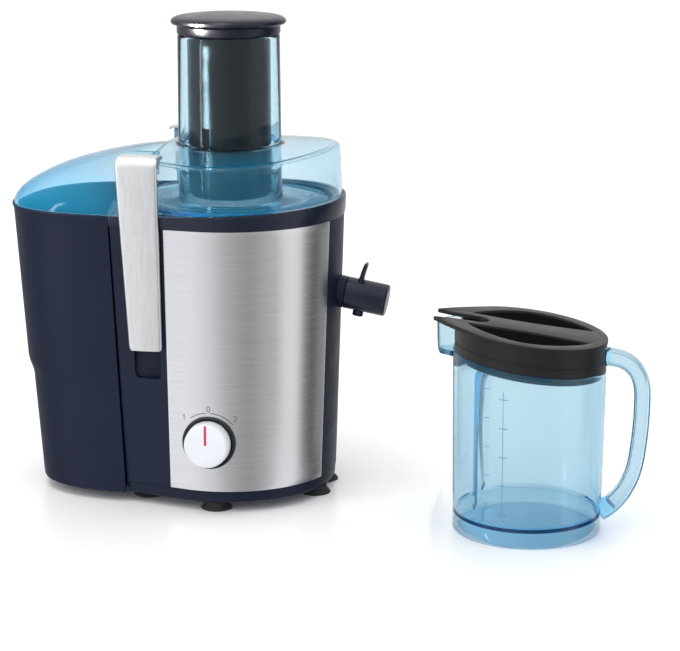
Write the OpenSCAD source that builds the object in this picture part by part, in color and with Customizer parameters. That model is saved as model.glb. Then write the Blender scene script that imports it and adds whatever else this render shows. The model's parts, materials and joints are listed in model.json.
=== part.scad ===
// Centrifugal juicer with a spinning filter, a pulp container and a juice jug.
// Origin: the drive axis at table height. +X towards the spout, -X towards the pulp
// container, -Y towards the user and the knob, +Z up. All sizes are in millimetres.

/* [Housing] */
// Height of the rubber feet under the base plate
foot_h = 7.3; // [6:0.1:9]
// Radius of the drum at its bottom edge
drum_r_low = 84.5; // [84:0.5:86]
// Radius of the drum at the collar
drum_r_top = 92; // [91:0.5:93]
// Height of the joint between base plate and housing
base_top_z = 16.8; // [16:0.1:18]
// Height where the housing ends and the collar starts
collar_z = 227.7; // [227:0.1:229]
// Height of the collar's top face above the drive axis
collar_top_z = 238.8; // [238:0.1:240]
// Slope of the collar's top face, rising towards the spout
collar_slope = 2.29; // [0:0.01:2.5]
// Wall of the moulded shells
wall = 2.6; // [2.2:0.1:2.8]
// Seam to the pulp container: distance from the drive axis at the top
seam_x_top = 78.6; // [78:0.1:80]
// Seam to the pulp container: distance from the drive axis at the bottom
seam_x_low = 72.4; // [71:0.1:74]
// Half width of the housing at the seam, top
ear_y_top = 84; // [83:0.5:85]
// Half width of the housing at the seam, bottom
ear_y_low = 69; // [68:0.5:70]

/* [Pulp container] */
// Height of the container's rim
container_rim_z = 235.7; // [235:0.1:236]
// Length of the container behind the seam's reference, at the rim
container_a = 105; // [100:1:106]
// Half width of the container at the rim
container_b = 84; // [82:0.5:85]
// Depth of the undercut that the fingers grip at the far end
grip_depth = 4.5; // [3:0.5:6]

/* [Lid and feed tube] */
// Outer radius of the lid around the filter
lid_r = 90.4; // [89:0.1:91]
// Height of the lid's ridge
lid_ridge_z = 283.5; // [280:0.5:286]
// Wall of the clear plastic lid
lid_wall = 2.5; // [2:0.1:3]
// Outer radius of the feed tube at its rim
tube_r = 40.5; // [39:0.5:42]
// Radius of the feed tube's bore
tube_bore_r = 37; // [35:0.5:38]
// Height of the feed tube's rim
tube_top_z = 369.5; // [350:0.5:375]
// Height of the feed tube's lower end, inside the filter
tube_low_z = 222; // [218:1:226]

/* [Plunger] */
// Radius of the plunger's body
plunger_r = 33.5; // [32:0.5:35]
// Height of the plunger's lower end when it is pushed home
plunger_low_z = 240; // [232:1:244]
// Radius of the plunger's cap
cap_r = 45.8; // [44:0.1:48]

/* [Filter and drive] */
// Radius of the filter's rim
filter_r = 79; // [77:0.5:79]
// Radius of the grater disc
grater_r = 50; // [46:1:52]
// Radius of the motor shaft
shaft_r = 4; // [3.5:0.1:4.5]
// Radial running clearance of shafts and pins
running_gap = 0.05; // [0.02:0.01:0.1]
// Radius of the stator
stator_r = 42; // [38:1:44]
// Radius of the armature
armature_r = 25; // [22:0.5:25]

/* [Spout] */
// Angle at which the spout falls below the horizontal
spout_fall = 10; // [5:1:15]
// Outer radius of the spout
spout_r = 12.9; // [12:0.1:14]
// Height of the spout's axis where it meets the bowl
spout_z = 165.6; // [164:0.1:168]
// Length of the spout beyond its reference point
spout_len = 43.7; // [40:0.1:48]

/* [Latches] */
// Height of the link's pin in the housing
link_pin_z = 192; // [190:1:194]
// Distance between the link's two pins
link_len = 26; // [24:0.5:27]
// Radius of the latch pins
latch_pin_r = 1.5; // [1.2:0.1:1.6]
// Height of the lever's lower end
lever_low_z = 130; // [128:1:134]
// Height of the lever's hook
lever_top_z = 284; // [283:0.5:286]

/* [Knob] */
// Height of the knob's axis
knob_z = 58; // [50:1:70]
// Radius of the knob's face
knob_r = 18.2; // [16:0.1:18.2]
// Radius of the dark ring around the knob
knob_ring_r = 21.3; // [20.5:0.1:23]

/* [Jug] */
// Centre of the jug on the table, towards the spout
jug_x = 249.5; // [220:0.5:280]
// Centre of the jug on the table, towards the user
jug_y = -72.5; // [-100:0.5:-60]
// Outer radius of the jug at its rim
jug_r = 58.7; // [57:0.1:60]
// Height of the jug's rim above its centre
jug_rim_z = 135.6; // [130:0.1:140]
// Slope of the jug's rim, rising towards its spout
jug_slope = 7; // [4:0.5:8]
// Wall of the jug
jug_wall = 2.4; // [2:0.1:3]

/* [Hidden] */
$fn = 96;
eps = 0.01;
hull_fn = 72;
drum_slope = (drum_r_top - drum_r_low) / (collar_top_z - foot_h);
corner_r = 1.6;
spin_gap = running_gap;
far = 400;
bowl_r = 82.5;
bowl_wall = 2;
bowl_floor_z = 152;
column_r = 18;
flange_z = 236.7;
knob_axis_y = -drum_r(knob_z);
pocket_x0 = -62.5;
pocket_x1 = -40.5;
pocket_n = 76.2;
pocket_z0 = 148;
pocket_z1 = 206;
recess_x0 = -61;
recess_x1 = -39;
recess_n = 75;
recess_z0 = 106;
recess_z1 = 132;
pin_boss_w = 2.4;
panel_left_x = -33.4;
panel_right_x = 84;
link_x0 = -57;
link_w = 11;
cheek_w = 2.5;
link_pin_n = 82;
lever_pin_n = link_pin_n - link_len * sin(4);
lever_pin_z = link_pin_z - link_len * cos(4);
feet = [[2, 71], [72, 18], [-60, 46]];
screw_spots = [[-56, 67], [32.5, 71.7], [71.5, 33]];
bolt_spot = 33;

navy = [0.07, 0.09, 0.17];
black = [0.08, 0.08, 0.09];
steel = [0.75, 0.76, 0.78];
clear_blue = [0.45, 0.75, 0.95, 0.5];
copper = [0.72, 0.42, 0.2];

function drum_r(z) = drum_r_low + drum_slope * (z - foot_h);
function share(z) = (z - foot_h) / (collar_top_z - foot_h);
function seam_x(z) = seam_x_low + (seam_x_top - seam_x_low) * share(z);
function ear_y(z) = ear_y_low + (ear_y_top - ear_y_low) * share(z);

// Points of a superellipse, a rounded rectangle with continuous curvature
function power(v, p) = sign(v) * pow(abs(v), p);
function rounded(a, b, steps = 60) =
    [for (i = [0 : steps - 1]) let (t = i * 360 / steps)
        [a * power(cos(t), 2 / 2.6), b * power(sin(t), 2 / 2.6)]];

// The drum with its two corners at the seam, from z0 to z1, set back by inset
module housing_form(inset, z0, z1) {
    post_r = max(0.4, corner_r - inset);
    hull() {
        translate([0, 0, z0]) cylinder(r1 = drum_r(z0) - inset, r2 = drum_r(z1) - inset, h = z1 - z0);
        for (side = [-1, 1], z = [z0, z1 - eps])
            translate([-seam_x(z) + inset + post_r, side * (ear_y(z) - inset - post_r), z])
                cylinder(r = post_r, h = eps, $fn = 16);
    }
}

// Everything above the collar's sloping top face, lifted by gap
module above_collar(gap) {
    translate([0, 0, collar_top_z + gap]) rotate([0, -collar_slope, 0])
        translate([-far, -far, 0]) cube([2 * far, 2 * far, far]);
}

// Everything below the collar's sloping top face
module below_collar(gap) {
    translate([0, 0, collar_top_z + gap]) rotate([0, -collar_slope, 0])
        translate([-far, -far, -far]) cube([2 * far, 2 * far, far]);
}

// Places a child on the spout's axis: local +Z runs out along the spout, local +X points down
module on_spout(s = 0) {
    translate([85, 0, spout_z]) rotate([0, 90 + spout_fall, 0]) translate([0, 0, s]) children();
}

// Places a child on the knob's axis: local +Z points at the user, from the drum's face
module on_knob(out = 0) {
    translate([0, knob_axis_y - out, knob_z]) rotate([90, 0, 0]) children();
}

// Mirrors a child from the front latch to the back one
module side(back) {
    mirror([0, back ? 1 : 0, 0]) children();
}

module ring(r_out, r_in, h) {
    difference() {
        cylinder(r = r_out, h = h);
        translate([0, 0, -1]) cylinder(r = r_in, h = h + 2);
    }
}

module on_both(spots) {
    for (spot = spots, flip = [-1, 1]) translate([spot[0], flip * spot[1], 0]) children();
}

// ---- base and housing ----

module rubber_feet() {
    color(black) on_both(feet) {
        cylinder(r1 = 12.5, r2 = 10.5, h = 3);
        translate([0, 0, 3]) cylinder(r = 9.5, h = foot_h - 3);
    }
}

module base_plate() {
    color(navy) difference() {
        union() {
            difference() {
                housing_form(0.5, foot_h, base_top_z);
                housing_form(0.5 + wall, foot_h + 3, base_top_z + 1);
            }
            intersection() {
                housing_form(0.5, foot_h, base_top_z);
                on_both(screw_spots) translate([0, 0, foot_h]) cylinder(r = 6, h = 10);
            }
            for (sx = [-1, 1], sy = [-1, 1])
                translate([sx * bolt_spot, sy * bolt_spot, foot_h]) cylinder(r = 6, h = 12.7);
            translate([-108, -30, foot_h]) cube([44, 60, 2.2]);
        }
        on_both(screw_spots) {
            translate([0, 0, foot_h - 1]) cylinder(r = 3.4, h = 4);
            translate([0, 0, foot_h]) cylinder(r = 1.7, h = 12);
        }
        for (x = [-28 : 8 : 28])
            translate([x - 1.5, -22, foot_h - 1]) cube([3, 44, 6]);
    }
}

module base_screws() {
    color(steel) on_both(screw_spots) {
        translate([0, 0, foot_h + 0.5]) cylinder(r = 3, h = 2.5);
        translate([0, 0, foot_h + 3]) cylinder(r = 1.5, h = 18);
    }
}

// Pocket in the housing's side that holds a latch link, and the finger recess under the lever
module side_pocket(x0, x1, depth_n, z0, z1) {
    translate([x0, -far, z0]) cube([x1 - x0, far - depth_n, z1 - z0]);
}

module side_pocket_wall(x0, x1, depth_n, z0, z1) {
    intersection() {
        housing_form(0.05, base_top_z, collar_z);
        side_pocket(x0 - wall, x1 + wall, depth_n - wall, z0 - wall, z1 + wall);
    }
}

// Lugs at the pocket's two sides that carry the link's pin
module pin_bosses() {
    for (x = [pocket_x0 - 0.1, pocket_x1 - pin_boss_w])
        translate([x, -link_pin_n - 3.5, link_pin_z - 5]) cube([pin_boss_w + 0.1, 10, 10]);
}

module housing() {
    color(navy) difference() {
        union() {
            housing_skin();
            on_both(screw_spots) translate([0, 0, base_top_z]) cylinder(r = 4.5, h = 20);
        }
        for (back = [false, true]) side(back) latch_frame_box();
        on_both(screw_spots) translate([0, 0, foot_h]) cylinder(r = 1.5, h = 22);
        on_knob(-12) cylinder(r = knob_ring_r - 2, h = 30);
        on_spout(-6) cylinder(r = spout_r + 0.4, h = 40);
        translate([0, 60, 30]) rotate([-90, 0, 0]) cylinder(r = 7, h = 60);
        front_panel_form(0.02);
    }
}

module housing_skin() {
    difference() {
        housing_form(0, base_top_z, collar_z);
        housing_form(wall, base_top_z - 1, collar_z + 1);
    }
}

// Room in the housing's side for the latch frame
module latch_frame_box() {
    side_pocket(pocket_x0 - wall, recess_x1 + wall, 70, recess_z0 - wall, pocket_z1 + wall);
}

// Insert in the housing's side with the latch pocket, its pin lugs and the finger recess
module latch_frame() {
    difference() {
        union() {
            difference() {
                union() {
                    intersection() {
                        housing_skin();
                        latch_frame_box();
                    }
                    side_pocket_wall(pocket_x0, pocket_x1, pocket_n, pocket_z0, pocket_z1);
                    side_pocket_wall(recess_x0, recess_x1, recess_n, recess_z0, recess_z1);
                }
                side_pocket(pocket_x0, pocket_x1, pocket_n, pocket_z0, pocket_z1);
                side_pocket(recess_x0, recess_x1, recess_n, recess_z0, recess_z1);
            }
            pin_bosses();
        }
        translate([pocket_x0, -link_pin_n, link_pin_z]) rotate([0, 90, 0])
            cylinder(r = latch_pin_r, h = pocket_x1 - pocket_x0);
    }
}

module front_latch_frame() {
    color(navy) latch_frame();
}

module back_latch_frame() {
    color(navy) side(true) latch_frame();
}

// Sheet-steel skin wrapped round the front of the drum
module front_panel_form(grow) {
    z0 = 17.3 - grow;
    intersection() {
        difference() {
            housing_form(-0.4, z0, collar_z);
            housing_form(0.4 + grow, z0 - 1, collar_z + 1);
        }
        translate([panel_left_x - grow, -far, 0])
            cube([panel_right_x - panel_left_x + 2 * grow, far - 31 + grow, far]);
    }
}

module front_panel() {
    color(steel) difference() {
        front_panel_form(0);
        on_knob(-12) cylinder(r = knob_ring_r - 2, h = 30);
    }
}

module collar() {
    color(navy) difference() {
        housing_form(-0.8, collar_z, collar_top_z + 6);
        above_collar(0);
        translate([0, 0, collar_z - 1]) cylinder(r = bowl_r - 0.5, h = 30);
        translate([0, 0, collar_z - 1]) cylinder(r = 88.2, h = 1.8);
        difference() {
            translate([-far - seam_x_top, -far, 0]) cube([far, 2 * far, far]);
            cylinder(r = drum_r_top - 0.1, h = far);
        }
    }
}

module knob_ring() {
    color(black) difference() {
        union() {
            on_knob(-8.4) cylinder(r = knob_ring_r - 2.1, h = 11);
            difference() {
                on_knob(-4.4) cylinder(r = knob_ring_r, h = 7);
                housing_form(-0.45, 17.3, collar_z);
            }
        }
        on_knob(-1.4) cylinder(r = knob_r + 0.5, h = 10);
        on_knob(-20) cylinder(r = 3 + spin_gap, h = 40);
    }
}

module motor_deck() {
    color(black) difference() {
        housing_form(wall + 0.3, 141, 144);
        translate([0, 0, 130]) cylinder(r = 22, h = 30);
        for (a = [30 : 60 : 330]) rotate(a) translate([52, 0, 130]) cylinder(r = 7, h = 30);
    }
}

module cord_gland() {
    color(black) translate([0, 0, 30]) rotate([-90, 0, 0]) difference() {
        union() {
            translate([0, 0, 76]) cylinder(r = 7, h = 18);
            translate([0, 0, 86]) cylinder(r = 9, h = 2.5);
            translate([0, 0, 76]) cylinder(r = 9, h = 5);
        }
        translate([0, 0, 70]) cylinder(r = 3.6, h = 40);
    }
}

// ---- bowl and lid ----

module juice_bowl() {
    color([0.8, 0.82, 0.85]) difference() {
        union() {
            translate([0, 0, bowl_floor_z]) ring(bowl_r, bowl_r - bowl_wall, collar_z - bowl_floor_z);
            translate([0, 0, bowl_floor_z]) ring(bowl_r - 1, 10, 2.5);
            translate([0, 0, bowl_floor_z]) ring(column_r, 10, 32);
            translate([0, 0, collar_z - 2]) ring(88, bowl_r - 1, 2.6);
            on_spout(-4) cylinder(r = 10.8, h = spout_len + 1);
            on_spout(2) cylinder(r = spout_r, h = 7.5);
        }
        on_spout(-10) cylinder(r = 8.5, h = spout_len + 20);
        on_spout(14) difference() {
            cylinder(r = 12, h = 2.5);
            translate([0, 0, -1]) cylinder(r = 9.6, h = 5);
        }
        on_spout(22) rotate([0, 90, 0]) cylinder(r = 3.5, h = 20);
    }
}

module spout_seal() {
    color(black) on_spout(14.1) ring(10.78, 9.6, 2.3);
}

module shaft_seal() {
    color(black) translate([0, 0, 174]) ring(10, shaft_r + 0.08, 8);
}

// Outer form of the lid, set back by inset: a barrel-topped drum blended into the container's dome
module lid_form(inset) {
    dome = [[104, 82.5, 232], [94, 75, 246], [75, 62, 262], [43, 46, 274.5]];
    hull() {
        translate([0, 0, 230]) cylinder(r1 = lid_r - inset, r2 = lid_r - 1.6 - inset,
            h = 43 - inset, $fn = hull_fn);
        for (y = [-84 : 12 : 84])
            translate([-55, y, lid_ridge_z - 0.0009 * y * y - inset])
                cube([55 + sqrt(pow(lid_r - 3 - inset, 2) - y * y), eps, eps]);
        for (d = dome) translate([-70, 0, d[2] - inset])
            linear_extrude(eps) polygon(rounded(d[0] - inset, d[1] - inset));
    }
}

module lid() {
    color(clear_blue) difference() {
        union() {
            difference() {
                lid_form(0);
                lid_form(lid_wall);
                below_collar(0);
                translate([-far, -far, 0]) cube([2 * far, 2 * far, container_rim_z + 0.4]);
            }
            for (back = [false, true]) side(back) translate([-66, -80, 268]) cube([26, 8, 8.6]);
        }
        feed_tube_form();
    }
}

module feed_tube_form() {
    translate([0, 0, tube_low_z]) cylinder(r1 = 41.4, r2 = tube_r, h = tube_top_z - tube_low_z);
}

module feed_tube() {
    color(clear_blue) difference() {
        union() {
            feed_tube_form();
            translate([0, 0, flange_z]) ring(filter_r, 40, 2);
        }
        translate([0, 0, tube_low_z - 1]) cylinder(r = tube_bore_r, h = 200);
    }
}

// ---- motor ----

module bearing() {
    ring(11, shaft_r + spin_gap, 7);
}

module bolt_holes(r) {
    for (sx = [-1, 1], sy = [-1, 1])
        translate([sx * bolt_spot, sy * bolt_spot, -1]) cylinder(r = r, h = 150);
}

module lower_bracket() {
    color(steel) difference() {
        union() {
            translate([0, 0, 30]) intersection() {
                ring(54, 11, 4);
                union() for (a = [45, 135]) rotate(a) translate([-60, -12, 0]) cube([120, 24, 4]);
            }
            translate([0, 0, 28]) ring(15, 11, 9);
        }
        bolt_holes(2);
    }
}

module upper_bracket() {
    color(steel) difference() {
        union() {
            translate([0, 0, 129]) ring(56, 11, 4);
            translate([0, 0, 128]) ring(15, 11, 9);
        }
        bolt_holes(2);
        for (a = [0 : 90 : 270]) rotate(a) translate([36, 0, 120]) cylinder(r = 9, h = 30);
    }
}

module lower_bearing() {
    color(steel) translate([0, 0, 29]) bearing();
}

module upper_bearing() {
    color(steel) translate([0, 0, 129]) bearing();
}

module rubber_mounts() {
    color(black) for (sx = [-1, 1], sy = [-1, 1])
        translate([sx * bolt_spot, sy * bolt_spot, 20]) cylinder(r = 6, h = 6);
}

module motor_bolts() {
    color(steel) for (sx = [-1, 1], sy = [-1, 1]) translate([sx * bolt_spot, sy * bolt_spot, 0]) {
        translate([0, 0, 26]) cylinder(r = 4, h = 4);
        translate([0, 0, 30]) cylinder(r = 2, h = 103);
        translate([0, 0, 133]) cylinder(r = 4, h = 3, $fn = 6);
    }
}

module stator_core() {
    color([0.5, 0.51, 0.53]) translate([0, 0, 66]) difference() {
        ring(stator_r, armature_r + 0.6, 46);
        for (flip = [0, 180]) rotate(flip) translate([27, -13, -1]) cube([8, 26, 48]);
    }
}

module field_coils() {
    color(copper) for (flip = [0, 180], z = [59.8, 112.2]) rotate(flip) translate([0, 0, z])
        rotate(-50) rotate_extrude(angle = 100) translate([27.5, 0]) square([9, 6]);
}

module brush_box(w, h, r0, r1) {
    for (flip = [0, 180]) rotate(flip) translate([r0, -w / 2, 51 - h / 2]) cube([r1 - r0, w, h]);
}

module brush_holders() {
    color([0.75, 0.6, 0.3]) difference() {
        brush_box(9, 12, 14, 34);
        brush_box(5.4, 8.4, 13, 33);
    }
}

module carbon_brushes() {
    color(black) brush_box(5, 8, 11.8, 25);
}

module rotary_switch() {
    color(black) on_knob(-26) difference() {
        translate([-14, -14, 0]) cube([28, 28, 16]);
        translate([0, 0, 4]) cylinder(r = 3 + spin_gap, h = 20);
    }
}

module interlock_switch() {
    color(black) translate([-73, -71, 178]) {
        cube([12, 11, 22]);
        translate([3, 3, 22]) cube([4, 4, 3]);
    }
}

module motor_shaft() {
    color(steel) translate([0, 0, 27]) cylinder(r = shaft_r, h = 168);
}

module armature_core() {
    color([0.45, 0.46, 0.48]) translate([0, 0, 68]) difference() {
        ring(armature_r, shaft_r, 42);
        for (a = [0 : 30 : 330]) rotate(a) translate([armature_r - 4, -1.2, -1]) cube([6, 2.4, 44]);
    }
}

module armature_winding() {
    color(copper) for (end = [[61, 15, 20.5], [110, 20.5, 15]]) translate([0, 0, end[0]]) difference() {
        cylinder(r1 = end[1], r2 = end[2], h = 7);
        translate([0, 0, -1]) cylinder(r = shaft_r, h = 10);
    }
}

module commutator() {
    color(copper) translate([0, 0, 45]) difference() {
        ring(11.5, shaft_r, 13);
        for (a = [0 : 15 : 345]) rotate(a) translate([10.5, -0.3, 1]) cube([2, 0.6, 13]);
    }
}

module cooling_fan() {
    color(black) translate([0, 0, 119]) {
        ring(9, shaft_r, 8);
        ring(36, 8.9, 1.5);
        for (a = [0 : 40 : 320]) rotate(a) translate([14, -0.9, 1.4]) cube([21, 1.8, 6.4]);
    }
}

// ---- coupling and filter ----

module drive_coupling() {
    color(black) translate([0, 0, 185.5]) difference() {
        union() {
            ring(10.5, shaft_r, 11.5);
            for (a = [0 : 60 : 300]) rotate(a) translate([9, -2, 0]) cube([4, 4, 11.5]);
        }
        translate([0, 0, -1]) cylinder(r = shaft_r, h = 10.5);
    }
}

module filter_hub() {
    color([0.85, 0.86, 0.88]) rotate_extrude()
        polygon([[0, 197.2], [13.3, 197.2], [13.3, 186], [16, 186], [16, 196], [20.5, 196], [20.5, 172],
            [23.5, 172], [23.5, 196], [52, 198], [52, 200], [0, 200]]);
}

module grater_disc() {
    color(steel) translate([0, 0, 200]) {
        cylinder(r = grater_r, h = 1.2);
        for (row = [0 : 3], k = [0 : 9 + 3 * row])
            rotate(k * 360 / (10 + 3 * row) + row * 11) translate([16 + row * 10, -1.5, 1.1])
                rotate([0, -20, 0]) cube([2.6, 3, 1.2]);
    }
}

module filter_mesh() {
    color(steel) rotate_extrude()
        polygon([[50.6, 200], [52, 200], [52.4, 200.4], [77.3, 230], [76.3, 230]]);
}

module filter_rim() {
    color([0.85, 0.86, 0.88]) translate([0, 0, 230]) ring(filter_r, 74.6, 5);
}

// ---- plunger ----

module plunger() {
    color(navy) {
        translate([0, 0, tube_top_z + 7.7]) rotate_extrude()
            polygon(concat([[0, 0], [cap_r - 2, 0]],
                [for (a = [-60 : 20 : 60]) [cap_r - 3.4 + 3.4 * cos(a), 3.2 + 3.4 * sin(a)]],
                [for (i = [8 : -1 : 0]) [i * cap_r / 10, 6.4 + 2.9 * (1 - pow(i / 9, 2))]]));
        translate([0, 0, tube_top_z + 0.3]) cylinder(r = 41, h = 7.5);
        difference() {
            translate([0, 0, plunger_low_z]) cylinder(r = plunger_r, h = tube_top_z - plunger_low_z + 1);
            translate([0, 0, plunger_low_z - 1]) 
                cylinder(r = plunger_r - 2.5, h = tube_top_z - plunger_low_z - 4);
            rotate(-21) translate([-3, -plunger_r - 1, plunger_low_z - 1]) cube([6, 2.2, 58]);
        }
        translate([0, 0, plunger_low_z]) cylinder(r = plunger_r - 2.4, h = 3);
    }
}

// ---- knob ----

module knob() {
    color([0.9, 0.91, 0.93]) on_knob(0.6) difference() {
        union() {
            translate([0, 0, -1.4]) cylinder(r = knob_r - 0.6, h = 3.4);
            translate([0, 0, 1.9]) cylinder(r1 = knob_r, r2 = knob_r - 0.9, h = 10.1);
            translate([0, 0, 12]) cylinder(r1 = knob_r - 0.9, r2 = knob_r - 1.9, h = 1);
        }
        translate([0, 0, -5]) cylinder(r = 2.9, h = 11);
        translate([-1, 1.5, 12.2]) cube([2, 14, 2]);
    }
}

module knob_pointer() {
    color("crimson") on_knob(0.6) translate([-1, 1.5, 12.2]) cube([2, 14, 0.9]);
}

module knob_shaft() {
    color(steel) on_knob(0.6) {
        translate([0, 0, -21]) cylinder(r = 3, h = 19.4);
        translate([0, 0, -1.6]) cylinder(r = 2.9, h = 7);
    }
}

// ---- drip stop on the spout ----

module drip_stop() {
    color(navy) on_spout(9.9) difference() {
        union() {
            cylinder(r = spout_r, h = spout_len - 10.9);
            translate([0, 0, spout_len - 10.9]) cylinder(r1 = spout_r, r2 = spout_r - 1, h = 1);
            translate([0, 0, 12.1]) rotate([0, 90, 0]) cylinder(r = 4.35, h = spout_r + 4);
            thumb_fin();
        }
        translate([0, 0, -1]) cylinder(r = 10.8 + spin_gap, h = spout_len - 11.4);
        translate([0, 0, 12.1]) rotate([0, 90, 0]) cylinder(r = 3, h = 30);
    }
}

module thumb_fin() {
    translate([-spout_r - 16, -6, 10.5]) rotate([-90, 0, 0])
        linear_extrude(12) polygon([[0, 1], [0, -1], [18, -2.4], [18, 2]]);
}

// ---- latches ----

module link_pins() {
    color(steel) for (back = [false, true]) side(back)
        translate([pocket_x0 + 0.1, -link_pin_n, link_pin_z]) rotate([0, 90, 0])
            cylinder(r = latch_pin_r, h = pocket_x1 - pocket_x0 - 0.2);
}

module latch_link() {
    difference() {
        union() {
            for (pin = [[link_pin_n, link_pin_z], [lever_pin_n, lever_pin_z]])
                translate([link_x0, -pin[0], pin[1]]) rotate([0, 90, 0]) cylinder(r = 3.4, h = link_w);
            translate([link_x0, -link_pin_n, link_pin_z]) rotate([4, 0, 0])
                translate([0, -2, -link_len]) cube([link_w, 4, link_len]);
        }
        for (pin = [[link_pin_n, link_pin_z], [lever_pin_n, lever_pin_z]])
            translate([link_x0 - 1, -pin[0], pin[1]]) rotate([0, 90, 0])
                cylinder(r = latch_pin_r + spin_gap, h = link_w + 2);
    }
}

// Side outline of the lever: long handle, shoulder and hook, as distances out from the drive axis
function lever_n(z) = 88 + 7 * min(1, (z - lever_low_z) / 130);

module lever_side() {
    polygon([[lever_n(lever_low_z), lever_low_z], [lever_n(200), 200], [95, 262], [95.3, 278],
        [93.5, 282.5], [89, lever_top_z], [74.5, lever_top_z - 0.4], [74.5, 281.3], [88.5, 281], [91.6, 277],
        [92, 262], [lever_n(200) - 3, 200], [lever_n(lever_low_z) - 3, lever_low_z + 1]]);
}

module latch_lever() {
    intersection() {
        translate([-69.6, 0, 0]) rotate([90, 0, 90]) mirror([1, 0, 0]) linear_extrude(33.6) lever_side();
        translate([0, 10, 0]) rotate([90, 0, 0]) linear_extrude(200)
            polygon([[-63, lever_low_z - 1], [-36.6, lever_low_z - 1], [-36, lever_top_z + 1],
                [-69.6, lever_top_z + 1]]);
    }
    for (x = [link_x0 - 0.3 - cheek_w, link_x0 + link_w + 0.3]) difference() {
        union() {
            translate([x, -lever_pin_n, lever_pin_z]) rotate([0, 90, 0]) cylinder(r = 3.6, h = cheek_w);
            translate([x, -lever_n(lever_pin_z) + 2.5, lever_pin_z - 3.6]) cube([cheek_w, 7, 7.2]);
        }
        translate([x - 1, -lever_pin_n, lever_pin_z]) rotate([0, 90, 0]) cylinder(r = latch_pin_r, h = 5);
    }
}

module lever_pin() {
    translate([link_x0 - 0.3 - cheek_w, -lever_pin_n, lever_pin_z]) rotate([0, 90, 0])
        cylinder(r = latch_pin_r, h = link_w + 0.6 + 2 * cheek_w);
}

module front_link() {
    color(black) latch_link();
}

module front_lever() {
    color(steel) latch_lever();
}

module front_lever_pin() {
    color(steel) lever_pin();
}

module back_link() {
    color(black) side(true) latch_link();
}

module back_lever() {
    color(steel) side(true) latch_lever();
}

module back_lever_pin() {
    color(steel) side(true) lever_pin();
}

// ---- pulp container ----

// One level of the container's outline: reach to the far end, half width, height
module container_level(reach, half_w, z) {
    a = 0.42 * reach + 30;
    translate([a - reach, 0, z]) linear_extrude(eps) polygon(rounded(a, half_w));
}

module container_form() {
    hull() {
        container_level(157.6, 71.5, foot_h);
        container_level(163.2, 76.3, 93);
    }
    hull() {
        container_level(163.2, 76.3, 93);
        container_level(163.2 + grip_depth, 77.4, 111);
    }
    hull() {
        container_level(163.2 + grip_depth, 77.4, 111);
        container_level(container_a + 70, container_b, container_rim_z - eps);
    }
}

module seam_cut(gap) {
    translate([0, 150, 0]) rotate([90, 0, 0]) linear_extrude(300)
        polygon([[-seam_x(0) - gap, 0], [-seam_x(250) - gap, 250], [200, 250], [200, 0]]);
}

module pulp_container() {
    color(navy) difference() {
        container_form();
        difference() {
            hull() {
                container_level(157.6 - wall, 71.5 - wall, foot_h + 5);
                container_level(container_a + 70 - wall, container_b - wall, container_rim_z + 1);
            }
            housing_form(-0.6 - wall, 0, 250);
            seam_cut(0.6 + wall);
        }
        housing_form(-0.6, 0, 250);
        seam_cut(0.6);
        translate([-108.5, -30.5, 0]) cube([60, 61, foot_h + 2.6]);
    }
}

// ---- jug ----

// Everything above the jug's sloping rim plane, lifted by gap
module above_jug(gap) {
    translate([0, 0, jug_rim_z + gap]) rotate([0, jug_slope, 0])
        translate([-200, -200, 0]) cube([400, 400, 200]);
}

// Everything below the jug's sloping rim plane, lifted by gap
module below_jug(gap) {
    translate([0, 0, jug_rim_z + gap]) rotate([0, jug_slope, 0])
        translate([-200, -200, -200]) cube([400, 400, 200]);
}

module handle_piece(a, b) {
    hull() {
        translate(a) circle(r = 6.2, $fn = 24);
        translate(b) circle(r = 6.2, $fn = 24);
    }
}

module handle_form() {
    path = [[60, 137], [71, 136], [82, 128], [86, 112], [85, 68], [79, 40], [69, 22]];
    translate([0, 7.5, 0]) rotate([90, 0, 0]) linear_extrude(15) {
        for (i = [0 : len(path) - 2]) handle_piece(path[i], path[i + 1]);
        handle_piece([69, 22], [59, 13]);
    }
}

// Pouring trough that stands above the rim, seen from above
module trough(inset) {
    polygon([[-52, -17 + inset], [-66, -9 + inset], [-71 + inset, -5 + inset], [-71 + inset, 5 - inset],
        [-66, 9 - inset], [-52, 17 - inset]]);
}

module jug_outside() {
    cylinder(r1 = jug_r - 1.4, r2 = jug_r, h = 160);
}

module jug_inside() {
    translate([0, 0, 14.4]) cylinder(r1 = jug_r - 1.3 - jug_wall, r2 = jug_r - jug_wall, h = 160);
}

module jug_body() {
    color(clear_blue) translate([jug_x, jug_y, 0]) difference() {
        union() {
            difference() {
                jug_outside();
                above_jug(0);
            }
            intersection() {
                jug_outside();
                translate([50, -8.4, 100]) cube([20, 16.8, 43.4]);
            }
        }
        jug_inside();
        translate([0, 0, -1]) cylinder(r = jug_r - 1.4 - jug_wall, h = 13);
        translate([0, 0, 140]) linear_extrude(30) trough(2);
    }
}

module jug_handle() {
    color(clear_blue) translate([jug_x, jug_y, 0]) difference() {
        handle_form();
        jug_outside();
    }
}

module jug_spout() {
    color(clear_blue) translate([jug_x, jug_y, 0]) difference() {
        translate([0, 0, 138]) linear_extrude(24) trough(0);
        translate([0, 0, 140]) linear_extrude(30) trough(2);
        jug_inside();
        difference() {
            jug_outside();
            above_jug(0);
        }
    }
}

module foam_separator() {
    color(clear_blue) translate([jug_x - 36, jug_y, 0]) difference() {
        translate([-0.8, -41, 24]) cube([1.6, 82, 108]);
        translate([-2, -8, 20]) cube([4, 16, 10]);
    }
}

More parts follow.
